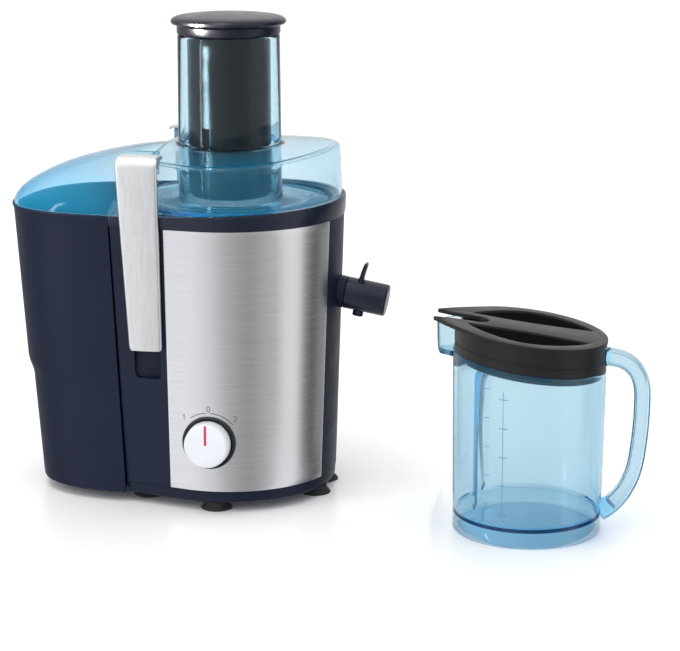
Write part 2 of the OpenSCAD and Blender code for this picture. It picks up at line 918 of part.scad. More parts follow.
module jug_lid() {
    color(black) translate([jug_x, jug_y, 0]) {
        difference() {
            union() {
                ring_z(jug_r, 0.3, 20);
                intersection() {
                    cylinder(r = jug_r - jug_wall - 0.6, h = 200);
                    above_jug(-6);
                    below_jug(6);
                }
            }
            translate([0, 0, 100]) cylinder(r = jug_r - jug_wall - 3, h = 100);
            translate([-100, -18.5, 0]) cube([60, 37, 400]);
            translate([48, -9, 0]) cube([20, 18, 146]);
        }
        difference() {
            intersection() {
                linear_extrude(300) difference() {
                    lid_outline();
                    translate([-100, -8]) square([62, 16]);
                    translate([-38, 0]) circle(r = 8);
                }
                above_jug(20);
                below_jug(23);
            }
            for (flip = [-1, 1]) intersection() {
                linear_extrude(300) lens(flip);
                above_jug(21.6);
            }
        }
    }
}

module ring_z(r, low, high) {
    intersection() {
        cylinder(r = r, h = 300);
        above_jug(low);
        below_jug(high);
    }
}

module lid_outline() {
    hull() {
        circle(r = jug_r + 0.6, $fn = hull_fn);
        for (flip = [-1, 1]) translate([-71.5, 13 * flip]) circle(r = 1.5, $fn = 16);
    }
}

module lens(flip) {
    intersection() {
        translate([2, flip * -38]) circle(r = 86);
        translate([2, flip * 106]) circle(r = 86);
        translate([-52, flip > 0 ? 12 : -60]) square([104, 48]);
    }
}

rubber_feet();
base_plate();
housing();
front_panel();
collar();
knob_ring();
motor_deck();
juice_bowl();
spout_seal();
shaft_seal();
lid();
feed_tube();
base_screws();
lower_bracket();
upper_bracket();
rubber_mounts();
motor_bolts();
lower_bearing();
upper_bearing();
stator_core();
field_coils();
brush_holders();
carbon_brushes();
rotary_switch();
interlock_switch();
cord_gland();
link_pins();
front_latch_frame();
back_latch_frame();
motor_shaft();
armature_core();
armature_winding();
commutator();
cooling_fan();
drive_coupling();
filter_hub();
grater_disc();
filter_mesh();
filter_rim();
plunger();
knob();
knob_pointer();
knob_shaft();
drip_stop();
front_link();
front_lever();
front_lever_pin();
back_link();
back_lever();
back_lever_pin();
pulp_container();
jug_body();
jug_handle();
jug_spout();
foam_separator();
jug_lid();
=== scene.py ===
"""Centrifugal juicer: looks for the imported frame. Shapes are in millimetres, the rest in metres."""
from math import acos, asin, atan2, copysign, cos, degrees, hypot, pi, radians, sin, sqrt, tan

import bmesh
import bpy
from mathutils import Matrix, Vector
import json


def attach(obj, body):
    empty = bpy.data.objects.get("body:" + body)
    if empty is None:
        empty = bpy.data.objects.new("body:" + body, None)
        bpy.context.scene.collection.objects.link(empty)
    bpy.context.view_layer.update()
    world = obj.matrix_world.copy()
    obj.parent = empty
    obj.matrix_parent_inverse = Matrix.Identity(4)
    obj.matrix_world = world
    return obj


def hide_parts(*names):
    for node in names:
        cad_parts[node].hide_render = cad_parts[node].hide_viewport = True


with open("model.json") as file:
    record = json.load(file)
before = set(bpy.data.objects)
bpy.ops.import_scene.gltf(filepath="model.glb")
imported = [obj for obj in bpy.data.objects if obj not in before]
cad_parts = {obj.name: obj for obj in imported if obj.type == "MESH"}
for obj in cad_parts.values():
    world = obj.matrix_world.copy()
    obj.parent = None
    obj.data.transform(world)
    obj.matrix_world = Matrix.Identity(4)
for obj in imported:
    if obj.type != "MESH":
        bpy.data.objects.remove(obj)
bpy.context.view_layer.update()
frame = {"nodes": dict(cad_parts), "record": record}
NODES = frame["nodes"]
MM = 0.001

# ---- shared sizes

FOOT_H = 7.3
BASE_TOP = 16.8
COLLAR_Z = 227.7
COLLAR_TOP = 238.8
COLLAR_RISE = tan(radians(2.29))
RIM_Z = 235.7
WALL = 2.6
SEAM_GAP = 0.6
DRUM_LOW, DRUM_TOP = 84.5, 92.0
PANEL_LOW, PANEL_EDGE_Y = 17.3, 31
KNOB_HOLE = 19.3
SKIN = 0.4
SEAM_LOW, SEAM_TOP = 72.4, 78.6
EAR_LOW, EAR_TOP = 69.0, 84.0
LID_R = 90.4
PANEL_LEFT = -33.4
LID_WALL = 2.5
RIDGE_Z = 283.5
BARREL = 0.0009
TUBE_TOP = 369.5
TUBE_LOW = 222.0
TUBE_BORE = 37.0
KNOB_Z = 58.0
SPOUT_FALL = radians(10)
SPOUT_AT = Vector((85, 0, 165.6))
SPOUT_R = 12.9
JUG_AT = (249.5, -72.5)
JUG_R = 58.7
JUG_RIM = 135.6
JUG_STEP = 15.2
POCKET_FLOOR = 21.5
CAP_LOW = 369.7
JUG_SLOPE = tan(radians(7))


def mix(a, b, t):
    return a + (b - a) * t


def share(z):
    return (z - FOOT_H) / (COLLAR_TOP - FOOT_H)


def drum_r(z):
    return mix(DRUM_LOW, DRUM_TOP, share(z))


def seam_x(z):
    return mix(SEAM_LOW, SEAM_TOP, share(z))


def ear_y(z):
    return mix(EAR_LOW, EAR_TOP, share(z))


def smooth_min(a, b, k):
    h = max(k - abs(a - b), 0) / k
    return min(a, b) - h * h * k / 4


def smooth_max(a, b, k):
    return -smooth_min(-a, -b, k)


def power(v, p):
    return copysign(abs(v) ** p, v)


# ---- materials

def feed(node, inputs):
    """Sets sockets, by name or number, to a value or to the output that drives them."""
    for key, value in inputs.items():
        if isinstance(value, bpy.types.NodeSocket):
            node.id_data.links.new(value, node.inputs[key])
        else:
            node.inputs[key].default_value = value
    return node


def add(tree, kind, inputs, **settings):
    """A new shader node with its settings and sockets."""
    node = tree.nodes.new("ShaderNode" + kind)
    for key, value in settings.items():
        setattr(node, key, value)
    return feed(node, inputs)


def grey(value, blue=1.0):
    return (value, value, value * blue, 1)


def color_ramp(tree, factor, stops, interpolation="LINEAR"):
    """A ramp through (place, colour) stops. Returns its colour socket."""
    node = add(tree, "ValToRGB", {"Fac": factor})
    node.color_ramp.interpolation = interpolation
    first, last = node.color_ramp.elements
    first.position, first.color = stops[0]
    last.position, last.color = stops[-1]
    for place, color in stops[1:-1]:
        node.color_ramp.elements.new(place).color = color
    return node.outputs["Color"]


def material(name, color, roughness=0.4, metallic=0.0, **sockets):
    mat = bpy.data.materials.new(name)
    mat.use_nodes = True
    values = {key.replace("_", " "): value for key, value in sockets.items()}
    feed(mat.node_tree.nodes["Principled BSDF"],
         {"Base Color": (*color, 1), "Roughness": roughness, "Metallic": metallic, **values})
    return mat


def noise(mat, scale, stretch=(1, 1, 1), detail=4, rough=0.6):
    """A noise texture in object space, stretched per axis. Returns its factor socket."""
    tree = mat.node_tree
    coords = add(tree, "TexCoord", {})
    mapping = add(tree, "Mapping", {"Vector": coords.outputs["Object"], "Scale": stretch})
    return add(tree, "TexNoise", {"Vector": mapping.outputs["Vector"], "Scale": scale, "Detail": detail,
                                  "Roughness": rough}).outputs["Fac"]


def vary(mat, socket, factor, low, high):
    """Drives a shader socket from a noise factor, between two values or colours."""
    tree = mat.node_tree
    if isinstance(low, tuple):
        source = color_ramp(tree, factor, [(NOISE_LOW, (*low, 1)), (NOISE_HIGH, (*high, 1))])
    else:
        source = add(tree, "MapRange", {"Value": factor, "From Min": NOISE_LOW, "From Max": NOISE_HIGH,
                                        "To Min": low, "To Max": high}).outputs["Result"]
    feed(tree.nodes["Principled BSDF"], {socket: source})


def bump(mat, factor, strength, distance):
    tree = mat.node_tree
    node = add(tree, "Bump", {"Height": factor, "Strength": strength, "Distance": distance})
    feed(tree.nodes["Principled BSDF"], {"Normal": node.outputs["Normal"]})


def moulded(name, color, rough, grain=1400, depth=0.00004, shine=0.5):
    """Injection-moulded plastic with slight gloss changes and, where depth isn't 0, a fine spark-eroded grain."""
    mat = material(name, color, rough, Specular_IOR_Level=shine)
    lighter = tuple(c * 1.16 + 0.0006 for c in color)
    vary(mat, "Base Color", noise(mat, 22), color, lighter)
    vary(mat, "Roughness", noise(mat, 60), rough - 0.04, rough + 0.05)
    if depth:
        bump(mat, noise(mat, grain, detail=2), 0.25, depth)
    return mat


def brushed(name, color, rough, stretch, depth=0.00003, streak=0.0):
    """Brushed sheet metal: long fine scratches along one direction. Streak draws highlights out across them."""
    mat = material(name, color, rough, 1.0, Anisotropic=streak, Anisotropic_Rotation=0.25)
    tangent = add(mat.node_tree, "Tangent", {}, direction_type="RADIAL", axis="Z")
    feed(mat.node_tree.nodes["Principled BSDF"], {"Tangent": tangent.outputs["Tangent"]})
    lines = noise(mat, 1.0, stretch, detail=6, rough=0.75)
    vary(mat, "Base Color", lines, tuple(c * 0.9 for c in color), tuple(min(1, c * 1.07) for c in color))
    vary(mat, "Roughness", noise(mat, 1.0, stretch, detail=3), rough - 0.06, rough + 0.08)
    bump(mat, lines, 0.3, depth)
    return mat


def tinted(name, tint, absorb, density, rough=0.015, haze=0.0, shine=0.5, through=(0.88, 0.97, 1.0), ior=1.42):
    """Clear tinted plastic: thin walls look pale, edges and long paths look deep blue.

    Haze is a milky share. Through is the tint that lamp light keeps, which isn't bent or blocked.
    """
    mat = material(name, tint, rough, IOR=ior, Transmission_Weight=1.0, Specular_IOR_Level=shine)
    vary(mat, "Roughness", noise(mat, 40), rough * 0.5, rough * 1.8)
    bump(mat, noise(mat, 30, detail=1), 0.03, 0.0002)
    tree = mat.node_tree
    milk = add(tree, "BsdfDiffuse", {"Color": MILK})
    blend = add(tree, "MixShader", {"Fac": haze, 1: tree.nodes["Principled BSDF"].outputs["BSDF"],
                                    2: milk.outputs["BSDF"]}, name="haze")
    clear = add(tree, "BsdfTransparent", {"Color": (*through, 1)})
    path = add(tree, "LightPath", {})
    lamps = add(tree, "MixShader", {"Fac": path.outputs["Is Shadow Ray"], 1: blend.outputs["Shader"],
                                    2: clear.outputs["BSDF"]})
    volume = add(tree, "VolumeAbsorption", {"Color": (*absorb, 1), "Density": density})
    feed(tree.nodes["Material Output"], {"Surface": lamps.outputs["Shader"], "Volume": volume.outputs["Volume"]})
    return mat


def fade_haze(mat, stops):
    """Haze that grows with distance from the drive axis, so the feed tube stays clear."""
    tree = mat.node_tree
    coords = add(tree, "TexCoord", {})
    flat = add(tree, "VectorMath", {0: coords.outputs["Object"], 1: (1, 1, 0)}, operation="MULTIPLY")
    far = add(tree, "VectorMath", {0: flat.outputs["Vector"]}, operation="LENGTH")
    milk = color_ramp(tree, far.outputs["Value"], [(place, grey(value)) for place, value in stops])
    feed(tree.nodes["haze"], {"Fac": milk})


NOISE_LOW, NOISE_HIGH = 0.3, 0.7
MILK = (0.01, 0.5, 0.85, 1)
NAVY = moulded("navy_plastic", (0.0045, 0.0085, 0.026), 0.42, shine=0.22)
NAVY_GLOSS = moulded("navy_gloss", (0.0045, 0.0075, 0.022), 0.24, depth=0, shine=0.4)
BLACK = moulded("black_plastic", (0.008, 0.008, 0.011), 0.4)
CHARCOAL = moulded("charcoal_plastic", (0.012, 0.0125, 0.013), 0.34, shine=0.2)
PLUNGER = moulded("plunger_plastic", (0.0045, 0.005, 0.007), 0.13, depth=0, shine=0.14)
CAP = moulded("cap_plastic", (0.005, 0.007, 0.018), 0.24, depth=0, shine=0.34)
# Painted shade: the jug lid's pocket floors get this darker plastic, which reflects nothing.
POCKET_SHADE = moulded("pocket_painted_shade", (0.004, 0.004, 0.0045), 0.25, shine=0.0)
LIGHT = moulded("light_plastic", (0.7, 0.72, 0.75), 0.3)
KNOB = moulded("knob_plastic", (0.6, 0.62, 0.66), 0.3)
RED = moulded("pointer_red", (0.62, 0.005, 0.06), 0.3)
RUBBER = moulded("rubber", (0.012, 0.012, 0.013), 0.75, grain=500, depth=0.0001)
PRINT = moulded("dial_print", (0.035, 0.04, 0.045), 0.5)
SCALE_PRINT = moulded("scale_print", (0.06, 0.2, 0.32), 0.5)
PANEL = brushed("steel_panel", (0.8, 0.81, 0.83), 0.3, (22, 22, 3200), streak=0.45)
LATCH = brushed("latch_steel", (0.86, 0.87, 0.88), 0.38, (500, 60, 60), 0.00001)
STEEL = brushed("bare_steel", (0.56, 0.57, 0.59), 0.32, (240, 240, 900))
SIEVE = brushed("sieve_steel", (0.7, 0.71, 0.73), 0.22, (600, 600, 200))
IRON = brushed("lamination", (0.24, 0.24, 0.25), 0.5, (30, 30, 2600), 0.0001)
COPPER = brushed("copper", (0.62, 0.27, 0.11), 0.34, (120, 120, 1500), 0.0002)
BRASS = brushed("brass", (0.7, 0.5, 0.2), 0.35, (300, 300, 300))
CARBON = moulded("carbon", (0.02, 0.02, 0.02), 0.8)
CLEAR = tinted("clear_blue", (0.93, 0.93, 0.915), (0.05, 0.74, 1.0), 46, haze=0.09, shine=0.14, ior=1.27)
fade_haze(CLEAR, [(0.043, 0.0), (0.05, 0.03), (0.09, 0.05), (0.12, 0.14), (0.17, 0.18)])
JUG_CLEAR = tinted("jug_clear_blue", (0.82, 0.855, 0.86), (0.06, 0.74, 0.99), 68, haze=0.03,
                   through=(0.7, 0.86, 0.95))
PALE_CLEAR = tinted("pale_clear_blue", (0.96, 0.985, 1.0), (0.1, 0.7, 0.97), 22, haze=0.03)

SLOT_MATERIALS = {
    "navy_plastic": NAVY, "steel_panel": PANEL, "latch_steel": LATCH, "clear_blue": CLEAR,
    "black_plastic": BLACK, "charcoal_plastic": CHARCOAL, "plunger_plastic": PLUNGER,
    "light_plastic": LIGHT, "knob_plastic": KNOB, "pointer_red": RED, "rubber": RUBBER,
    "bare_steel": STEEL, "sieve_steel": SIEVE, "lamination": IRON, "copper": COPPER,
    "brass": BRASS, "carbon": CARBON,
}
for part in frame["record"]["subparts"]:
    node = NODES[part["node"]]
    node.data.materials.clear()
    node.data.materials.append(SLOT_MATERIALS[part["material_slot"]])


# ---- mesh helpers

def build(name, verts, faces, mat, angle=35):
    """A mesh object from millimetre points, smooth except where faces meet at more than angle."""
    data = bpy.data.meshes.new(name)
    data.from_pydata([tuple(c * MM for c in v) for v in verts], [], faces)
    data.validate()
    obj = bpy.data.objects.new(name, data)
    bpy.context.scene.collection.objects.link(obj)
    data.materials.append(mat)
    tidy_normals(obj, angle)
    return obj


def tidy_normals(obj, angle=35):
    mesh = bmesh.new()
    mesh.from_mesh(obj.data)
    bmesh.ops.remove_doubles(mesh, verts=mesh.verts, dist=1e-6)
    bmesh.ops.recalc_face_normals(mesh, faces=mesh.faces)
    mesh.to_mesh(obj.data)
    mesh.free()
    obj.data.polygons.foreach_set("use_smooth", [True] * len(obj.data.polygons))
    obj.data.set_sharp_from_angle(angle=radians(angle))


def apply_modifiers(obj):
    depsgraph = bpy.context.evaluated_depsgraph_get()
    data = bpy.data.meshes.new_from_object(obj.evaluated_get(depsgraph))
    old = obj.data
    obj.modifiers.clear()
    obj.data = data
    bpy.data.meshes.remove(old)


def bevel(obj, width, segments=3, angle=30, normals=35):
    mod = obj.modifiers.new("bevel", "BEVEL")
    mod.width = width * MM
    mod.segments = segments
    mod.limit_method = "ANGLE"
    mod.angle_limit = radians(angle)
    mod.miter_outer = "MITER_ARC"
    apply_modifiers(obj)
    tidy_normals(obj, normals)
    return obj


def boolean(obj, others, operation, angle=35):
    """Joins or cuts obj with other solids, which are then deleted."""
    for other in others:
        mod = obj.modifiers.new("boolean", "BOOLEAN")
        mod.operation = operation
        mod.solver = "EXACT"
        mod.object = other
        apply_modifiers(obj)
        bpy.data.objects.remove(other)
    tidy_normals(obj, angle)
    return obj


def loft(rings, closed=True, cap_start=True, cap_end=True):
    """Quads between rings of equally many points, with flat caps."""
    verts = [p for ring in rings for p in ring]
    n = len(rings[0])
    faces = []
    for r in range(len(rings) - 1):
        for i in range(n if closed else n - 1):
            j = (i + 1) % n
            faces.append((r * n + i, r * n + j, (r + 1) * n + j, (r + 1) * n + i))
    if cap_start:
        faces.append(tuple(range(n))[::-1])
    if cap_end:
        faces.append(tuple(range((len(rings) - 1) * n, len(rings) * n)))
    return verts, faces


def build_round(name, rings, mat, angle=35):
    """A mesh from rings whose last one meets the first again."""
    return build(name, *loft(rings + [rings[0]], cap_start=False, cap_end=False), mat, angle)


def placed(matrix, points):
    return [tuple(matrix @ Vector(p)) for p in points]


def lathe_rings(profile, steps=96):
    """Rings round Z for a profile of (radius, height) points."""
    turns = [2 * pi * i / steps for i in range(steps)]
    return [[(r * cos(t), r * sin(t), z) for t in turns] for r, z in profile]


def lathe(name, profile, mat, steps=96, place=None, solid=True, angle=35):
    """A turned piece. A closed profile makes a ring; an open one is capped at both ends."""
    rings = lathe_rings(profile, steps)
    if place is not None:
        rings = [placed(place, ring) for ring in rings]
    return build(name, *loft(rings), mat, angle) if solid else build_round(name, rings, mat, angle)


def arc(cx, cy, r, a0, a1, steps):
    """Points on an arc, angles in degrees."""
    return [(cx + r * cos(radians(mix(a0, a1, i / steps))),
             cy + r * sin(radians(mix(a0, a1, i / steps)))) for i in range(steps + 1)]


def block(name, low, high, mat=BLACK):
    verts = [(x, y, z) for z in (low[2], high[2]) for y in (low[1], high[1]) for x in (low[0], high[0])]
    faces = [(0, 2, 3, 1), (4, 5, 7, 6), (0, 1, 5, 4), (2, 6, 7, 3), (0, 4, 6, 2), (1, 3, 7, 5)]
    return build(name, verts, faces, mat)


def settle(obj, body, slot, *nodes):
    """Rides on its body and stands for the CAD nodes named. The slot argument is not used."""
    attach(obj, body)
    if nodes:
        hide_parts(*nodes)
    return obj


ON_KNOB = Matrix.Translation((0, -drum_r(KNOB_Z), KNOB_Z)) @ Matrix.Rotation(radians(90), 4, "X")
ON_SPOUT = Matrix.Translation(SPOUT_AT) @ Matrix.Rotation(radians(90) + SPOUT_FALL, 4, "Y")
ON_JUG = Matrix.Translation((JUG_AT[0], JUG_AT[1], 0))


# ---- camera, light, floor

def make_camera():
    data = bpy.data.cameras.new("camera")
    data.sensor_width = 36
    data.lens = 113.8
    data.clip_end = 20
    camera = bpy.data.objects.new("camera", data)
    bpy.context.scene.collection.objects.link(camera)
    camera.location = (0.383, -1.665, 0.548)
    camera.rotation_euler = (radians(76.3), 0, radians(10))
    bpy.context.scene.camera = camera


def soft_light(name, location, target, size, watts):
    data = bpy.data.lights.new(name, "AREA")
    data.shape = "RECTANGLE"
    data.size, data.size_y = size
    data.energy = watts
    light = bpy.data.objects.new(name, data)
    bpy.context.scene.collection.objects.link(light)
    light.location = location
    light.rotation_euler = (Vector(target) - Vector(location)).to_track_quat("-Z", "Y").to_euler()
    return light


def make_world():
    """White studio. Shiny surfaces see soft bright and grey cards standing round the object."""
    world = bpy.data.worlds.new("studio")
    bpy.context.scene.world = world
    world.use_nodes = True
    tree = world.node_tree
    coords = add(tree, "TexCoord", {})
    split = add(tree, "SeparateXYZ", {"Vector": coords.outputs["Generated"]})
    back = add(tree, "Math", {0: split.outputs["Y"], 1: -1}, operation="MULTIPLY")
    turn = add(tree, "Math", {0: split.outputs["X"], 1: back.outputs[0]}, operation="ARCTAN2")
    unit = add(tree, "MapRange", {"Value": turn.outputs[0], "From Min": -pi, "From Max": pi})
    # Brightness by direction, in degrees from -Y towards +X.
    stops = [(-180, 0.8), (-130, 0.4), (-85, 0.3), (-62, 0.85), (-30, 0.85), (-12, 0.72), (8, 0.42), (30, 0.28),
             (50, 0.42), (66, 0.85), (84, 0.9), (98, 0.2), (116, 0.05), (140, 0.5), (180, 0.8)]
    cards = color_ramp(tree, unit.outputs["Result"], [
        ((turned + 180) / 360, grey(value, 1 if abs(turned) == 180 else 1.01)) for turned, value in stops], "EASE")
    sky = add(tree, "MapRange", {"Value": split.outputs["Z"], "From Min": 0.25, "From Max": 0.7})
    overhead = add(tree, "Mix", {"Factor": sky.outputs["Result"], "A": cards, "B": grey(1)}, data_type="RGBA")
    path = add(tree, "LightPath", {})
    shown = add(tree, "Mix", {"Factor": path.outputs["Is Glossy Ray"], "A": grey(1.2),
                              "B": overhead.outputs["Result"]}, data_type="RGBA")
    feed(tree.nodes["Background"], {"Color": shown.outputs["Result"], "Strength": 1.05})


def make_floor():
    """White sweep: bright enough to burn out, with contact shadows and a faint mirror image of the object."""
    mat = material("studio_floor", (0.95, 0.95, 0.955), 1, Specular_IOR_Level=0)
    tree = mat.node_tree
    gloss = add(tree, "BsdfGlossy", {"Color": grey(1), "Roughness": 0.3})
    blend = add(tree, "MixShader", {"Fac": 0.2, 1: tree.nodes["Principled BSDF"].outputs["BSDF"],
                                    2: gloss.outputs["BSDF"]})
    feed(tree.nodes["Material Output"], {"Surface": blend.outputs["Shader"]})
    verts = [(-FLOOR, -FLOOR, 0), (FLOOR, -FLOOR, 0), (FLOOR, FLOOR, 0), (-FLOOR, FLOOR, 0)]
    floor = build("studio_floor", verts, [(0, 1, 2, 3)], mat)
    floor.location.z = -0.0002
    floor.visible_glossy = False


def make_side_card():
    """Card between juicer and jug, seen only in reflections, so that the steel mirrors grey and not the jug."""
    x, near, far, low, high = 172, -160, 20, 1, 205
    mat = bpy.data.materials.new("side_card")
    mat.use_nodes = True
    tree = mat.node_tree
    tree.nodes.clear()
    coords = add(tree, "TexCoord", {})
    split = add(tree, "SeparateXYZ", {"Vector": coords.outputs["Object"]})
    along = add(tree, "MapRange", {"Value": split.outputs["Y"], "From Min": near * MM, "From Max": far * MM})
    stops = [(0.0, 0.4), (0.33, 0.85), (0.5, 0.9), (0.64, 0.2), (0.78, 0.05), (1.0, 0.3)]
    shade = color_ramp(tree, along.outputs["Result"], [(place, grey(value)) for place, value in stops], "EASE")
    glow = add(tree, "Emission", {"Color": shade})
    add(tree, "OutputMaterial", {"Surface": glow.outputs["Emission"]})
    corners = [(x, near, low), (x, far, low), (x, far, high), (x, near, high)]
    card = build("side_card", corners, [(0, 1, 2, 3)], mat)
    for kind in ("camera", "diffuse", "transmission", "shadow", "volume_scatter"):
        setattr(card, "visible_" + kind, False)


FLOOR = 6000
make_camera()
make_world()
make_floor()
make_side_card()
soft_light("tall_strip", (-1.25, -0.95, 0.55), (0, 0, 0.22), (0.12, 1.3), 5.4)
soft_light("top_soft", (-0.2, -0.5, 1.9), (0, 0, 0.2), (0.6, 0.6), 6)
bpy.context.scene.view_settings.view_transform = "Standard"
bpy.context.scene.view_settings.look = "None"


# ---- housing, base, collar

def housing_outline(z, grow=0.0, corner=1.6):
    """The drum with its two corners at the seam, as four arcs joined by tangents."""
    big = drum_r(z) + grow
    small = max(0.4, corner + grow)
    cx, cy = seam_x(z) + grow - small, ear_y(z) + grow - small
    reach = hypot(cx, cy)
    lean = degrees(acos((big - small) / reach))
    at = degrees(atan2(cy, -cx))
    front, rear = at - lean, at + lean
    return (arc(0, 0, big, -front, front, 110) + arc(-cx, cy, small, front, rear, 8)
            + arc(0, 0, big, rear, 360 - rear, 20) + arc(-cx, -cy, small, 360 - rear, 360 - front, 8))


def at_height(points, z):
    return [(x, y, z) for x, y in points]


def side_cut(name, x0, x1, depth, z0, z1, sign, radius=3.0):
    """A round-cornered cutter that reaches in from the front (-1) or the back (+1)."""
    outline = (arc(x0 + radius, z0 + radius, radius, 180, 270, 6) + arc(x1 - radius, z0 + radius, radius, 270, 360, 6)
               + arc(x1 - radius, z1 - radius, radius, 0, 90, 6) + arc(x0 + radius, z1 - radius, radius, 90, 180, 6))
    rings = [[(x, sign * n, z) for x, z in outline] for n in (depth, 130)]
    return build(name, *loft(rings), NAVY)


# Each as two X limits, depth, two heights and corner radius.
LINK_POCKET = (-62.5, -40.5, 76.2, 148, 206, 1.0)
FINGER_RECESS = (-61, -39, 75, 106, 132, 4.0)


def make_housing():
    levels = [BASE_TOP + 0.2 + (COLLAR_Z - BASE_TOP - 0.3) * i / 12 for i in range(13)]
    outer = [at_height(housing_outline(z), z) for z in levels]
    inner = [at_height(housing_outline(z, -WALL), z) for z in reversed(levels)]
    shell = build_round("housing_shell", outer + inner, NAVY)
    cuts, walls = [], []
    for sign in (-1, 1):
        for x0, x1, depth, z0, z1, r in (LINK_POCKET, FINGER_RECESS):
            cuts.append(side_cut("cut", x0, x1, depth, z0, z1, sign, r))
            walls.append(side_cut("wall", x0 - 2, x1 + 2, depth - 2, z0 - 2, z1 + 2, sign, r + 1))
    for wall in walls:
        limit = [at_height(housing_outline(z, -0.4), z) for z in (BASE_TOP + 1, COLLAR_Z - 1)]
        boolean(wall, [build("limit", *loft(limit), NAVY)], "INTERSECT")
    boolean(shell, walls, "UNION")
    spout_hole = lathe("hole", [(SPOUT_R + 0.4, -6), (SPOUT_R + 0.4, 40)], NAVY, 64, ON_SPOUT)
    knob_hole = lathe("hole", [(KNOB_HOLE, -12), (KNOB_HOLE, 18)], NAVY, 64, ON_KNOB)
    boolean(shell, cuts + [spout_hole, knob_hole], "DIFFERENCE")
    settle(shell, "base", "navy_plastic", "housing", "front_latch_frame", "back_latch_frame")
    for sign in (-1, 1):
        for x0, x1 in ((-62.4, -60.1), (-42.9, -40.6)):
            low, high = sorted((sign * 76.4, sign * 85.4))
            lug = block("link_lug_" + ("front" if sign < 0 else "back") + ("_a" if x0 < -50 else "_b"),
                        (x0, low, 187), (x1, high, 197), NAVY)
            settle(bevel(lug, 0.8), "base", "navy_plastic")


def make_base_band():
    """Base plate: a tray with a rounded lower edge and cooling slots."""
    rings = []
    for z, inset in ((FOOT_H, 2.6), (FOOT_H + 0.5, 1.5), (FOOT_H + 1.6, 0.8), (FOOT_H + 3, 0.5),
                     (BASE_TOP - 0.3, 0.5), (BASE_TOP, 0.8), (BASE_TOP, 3.1), (FOOT_H + 3, 3.1)):
        rings.append(at_height(housing_outline(z, -inset), z))
    tray = build("base_tray", *loft(rings), NAVY)
    slots = [block("slot", (x - 1.5, -22, FOOT_H - 1), (x + 1.5, 22, FOOT_H + 5)) for x in range(-28, 29, 8)]
    boolean(tray, slots, "DIFFERENCE")
    settle(tray, "base", "navy_plastic", "base_plate")
    tongue = block("container_ledge", (-107.8, -29.8, FOOT_H + 0.1), (-72, 29.8, FOOT_H + 2.1), NAVY)
    settle(bevel(tongue, 0.6), "base", "navy_plastic")


def collar_top(x):
    return COLLAR_TOP + COLLAR_RISE * x


def make_collar():
    """Ring between housing and lid, with a shadow groove below and a thin raised lip."""
    profile = [(0.0, 0.0, 0), (0.35, 0.05, 0), (0.35, 0.16, 0), (0.8, 0.22, 0), (0.95, 0.8, 0),
               (0.95, 1.0, -0.9), (0.5, 1.0, -0.1), (-1.2, 1.0, 0), (-1.6, 1.0, -1.2), (-9.8, 1.0, -1.2)]
    rings = [[(x, y, mix(COLLAR_Z, collar_top(x), level) + offset) for x, y in housing_outline(COLLAR_TOP, grow)]
             for grow, level, offset in profile]
    turns = [atan2(y, x) for x, y in housing_outline(COLLAR_TOP)]
    bore = [(82.2 * cos(t), 82.2 * sin(t)) for t in turns]
    rings += [[(x, y, collar_top(x) - 1.4) for x, y in bore], at_height(bore, COLLAR_Z + 0.9)]
    collar = build_round("collar_ring", rings, NAVY_GLOSS)
    settle(collar, "base", "navy_plastic", "collar")


def make_feet():
    profile = [(9.0, 0.3), (11.2, 0.0), (12.5, 0.0), (12.4, 0.6), (11.4, 2.0), (10.2, 3.2), (9.5, 4.2), (9.5, FOOT_H)]
    for i, (x, y) in enumerate(((2, 71), (72, 18), (-60, 46))):
        for sign in (-1, 1):
            place = Matrix.Translation((x, sign * y, 0))
            foot = lathe(f"suction_foot_{2 * i + (sign > 0)}", profile, RUBBER, 48, place)
            settle(foot, "base", "rubber", "rubber_feet")


# ---- steel panel, dial, knob

def front_tangent(z, grow):
    """Radius of the drum and the angle from +X where its front runs straight on to the ear."""
    big, small = drum_r(z) + grow, 1.6 + grow
    cx, cy = seam_x(z) + grow - small, ear_y(z) + grow - small
    return big, atan2(cy, -cx) - acos((big - small) / hypot(cx, cy))


def panel_point(x, z, lift=0.0):
    big, turn = front_tangent(z, SKIN + lift)
    if x > big * cos(turn):
        return (x, -sqrt(big * big - x * x), z)
    return (x, -(big - x * cos(turn)) / sin(turn), z)


def make_panel():
    """Steel skin wrapped round the drum, with softly rolled edges and a hole for the knob."""
    z0, z1 = PANEL_LOW, COLLAR_Z - 0.2
    columns, rows = 120, 40
    rings = []
    for lift in (0.0, -0.75):
        face = []
        for r in range(rows + 1):
            z = mix(z0, z1, r / rows)
            radius, turn = front_tangent(z, SKIN + lift)
            straight = (radius * cos(turn) - PANEL_LEFT) / sin(turn)
            curved = radius * (turn - asin(PANEL_EDGE_Y / radius))
            row = []
            for c in range(columns + 1):
                along = (straight + curved) * c / columns
                if along < straight:
                    row.append(panel_point(PANEL_LEFT + along * sin(turn), z, lift))
                else:
                    t = turn - (along - straight) / radius
                    row.append((radius * cos(t), -radius * sin(t), z))
            face.append(row)
        rings.append(face)
    verts = [p for face in rings for row in face for p in row]
    n, m = columns + 1, rows + 1
    faces = []
    for side in (0, 1):
        for r in range(rows):
            for c in range(columns):
                a = side * n * m + r * n + c
                faces.append((a, a + 1, a + n + 1, a + n) if side == 0 else (a, a + n, a + n + 1, a + 1))
    rim = ([(0, c) for c in range(columns)] + [(r, columns) for r in range(rows)]
           + [(rows, c) for c in range(columns, 0, -1)] + [(r, 0) for r in range(rows, 0, -1)])
    for k, (r, c) in enumerate(rim):
        r2, c2 = rim[(k + 1) % len(rim)]
        a, b = r * n + c, r2 * n + c2
        faces.append((a, a + n * m, b + n * m, b))
    panel = build("steel_front", verts, faces, PANEL)
    boolean(panel, [lathe("hole", [(KNOB_HOLE + 0.1, -12), (KNOB_HOLE + 0.1, 18)], NAVY, 96, ON_KNOB)], "DIFFERENCE")
    bevel(panel, 0.25, 2, 60)
    settle(panel, "base", "steel_panel", "front_panel")


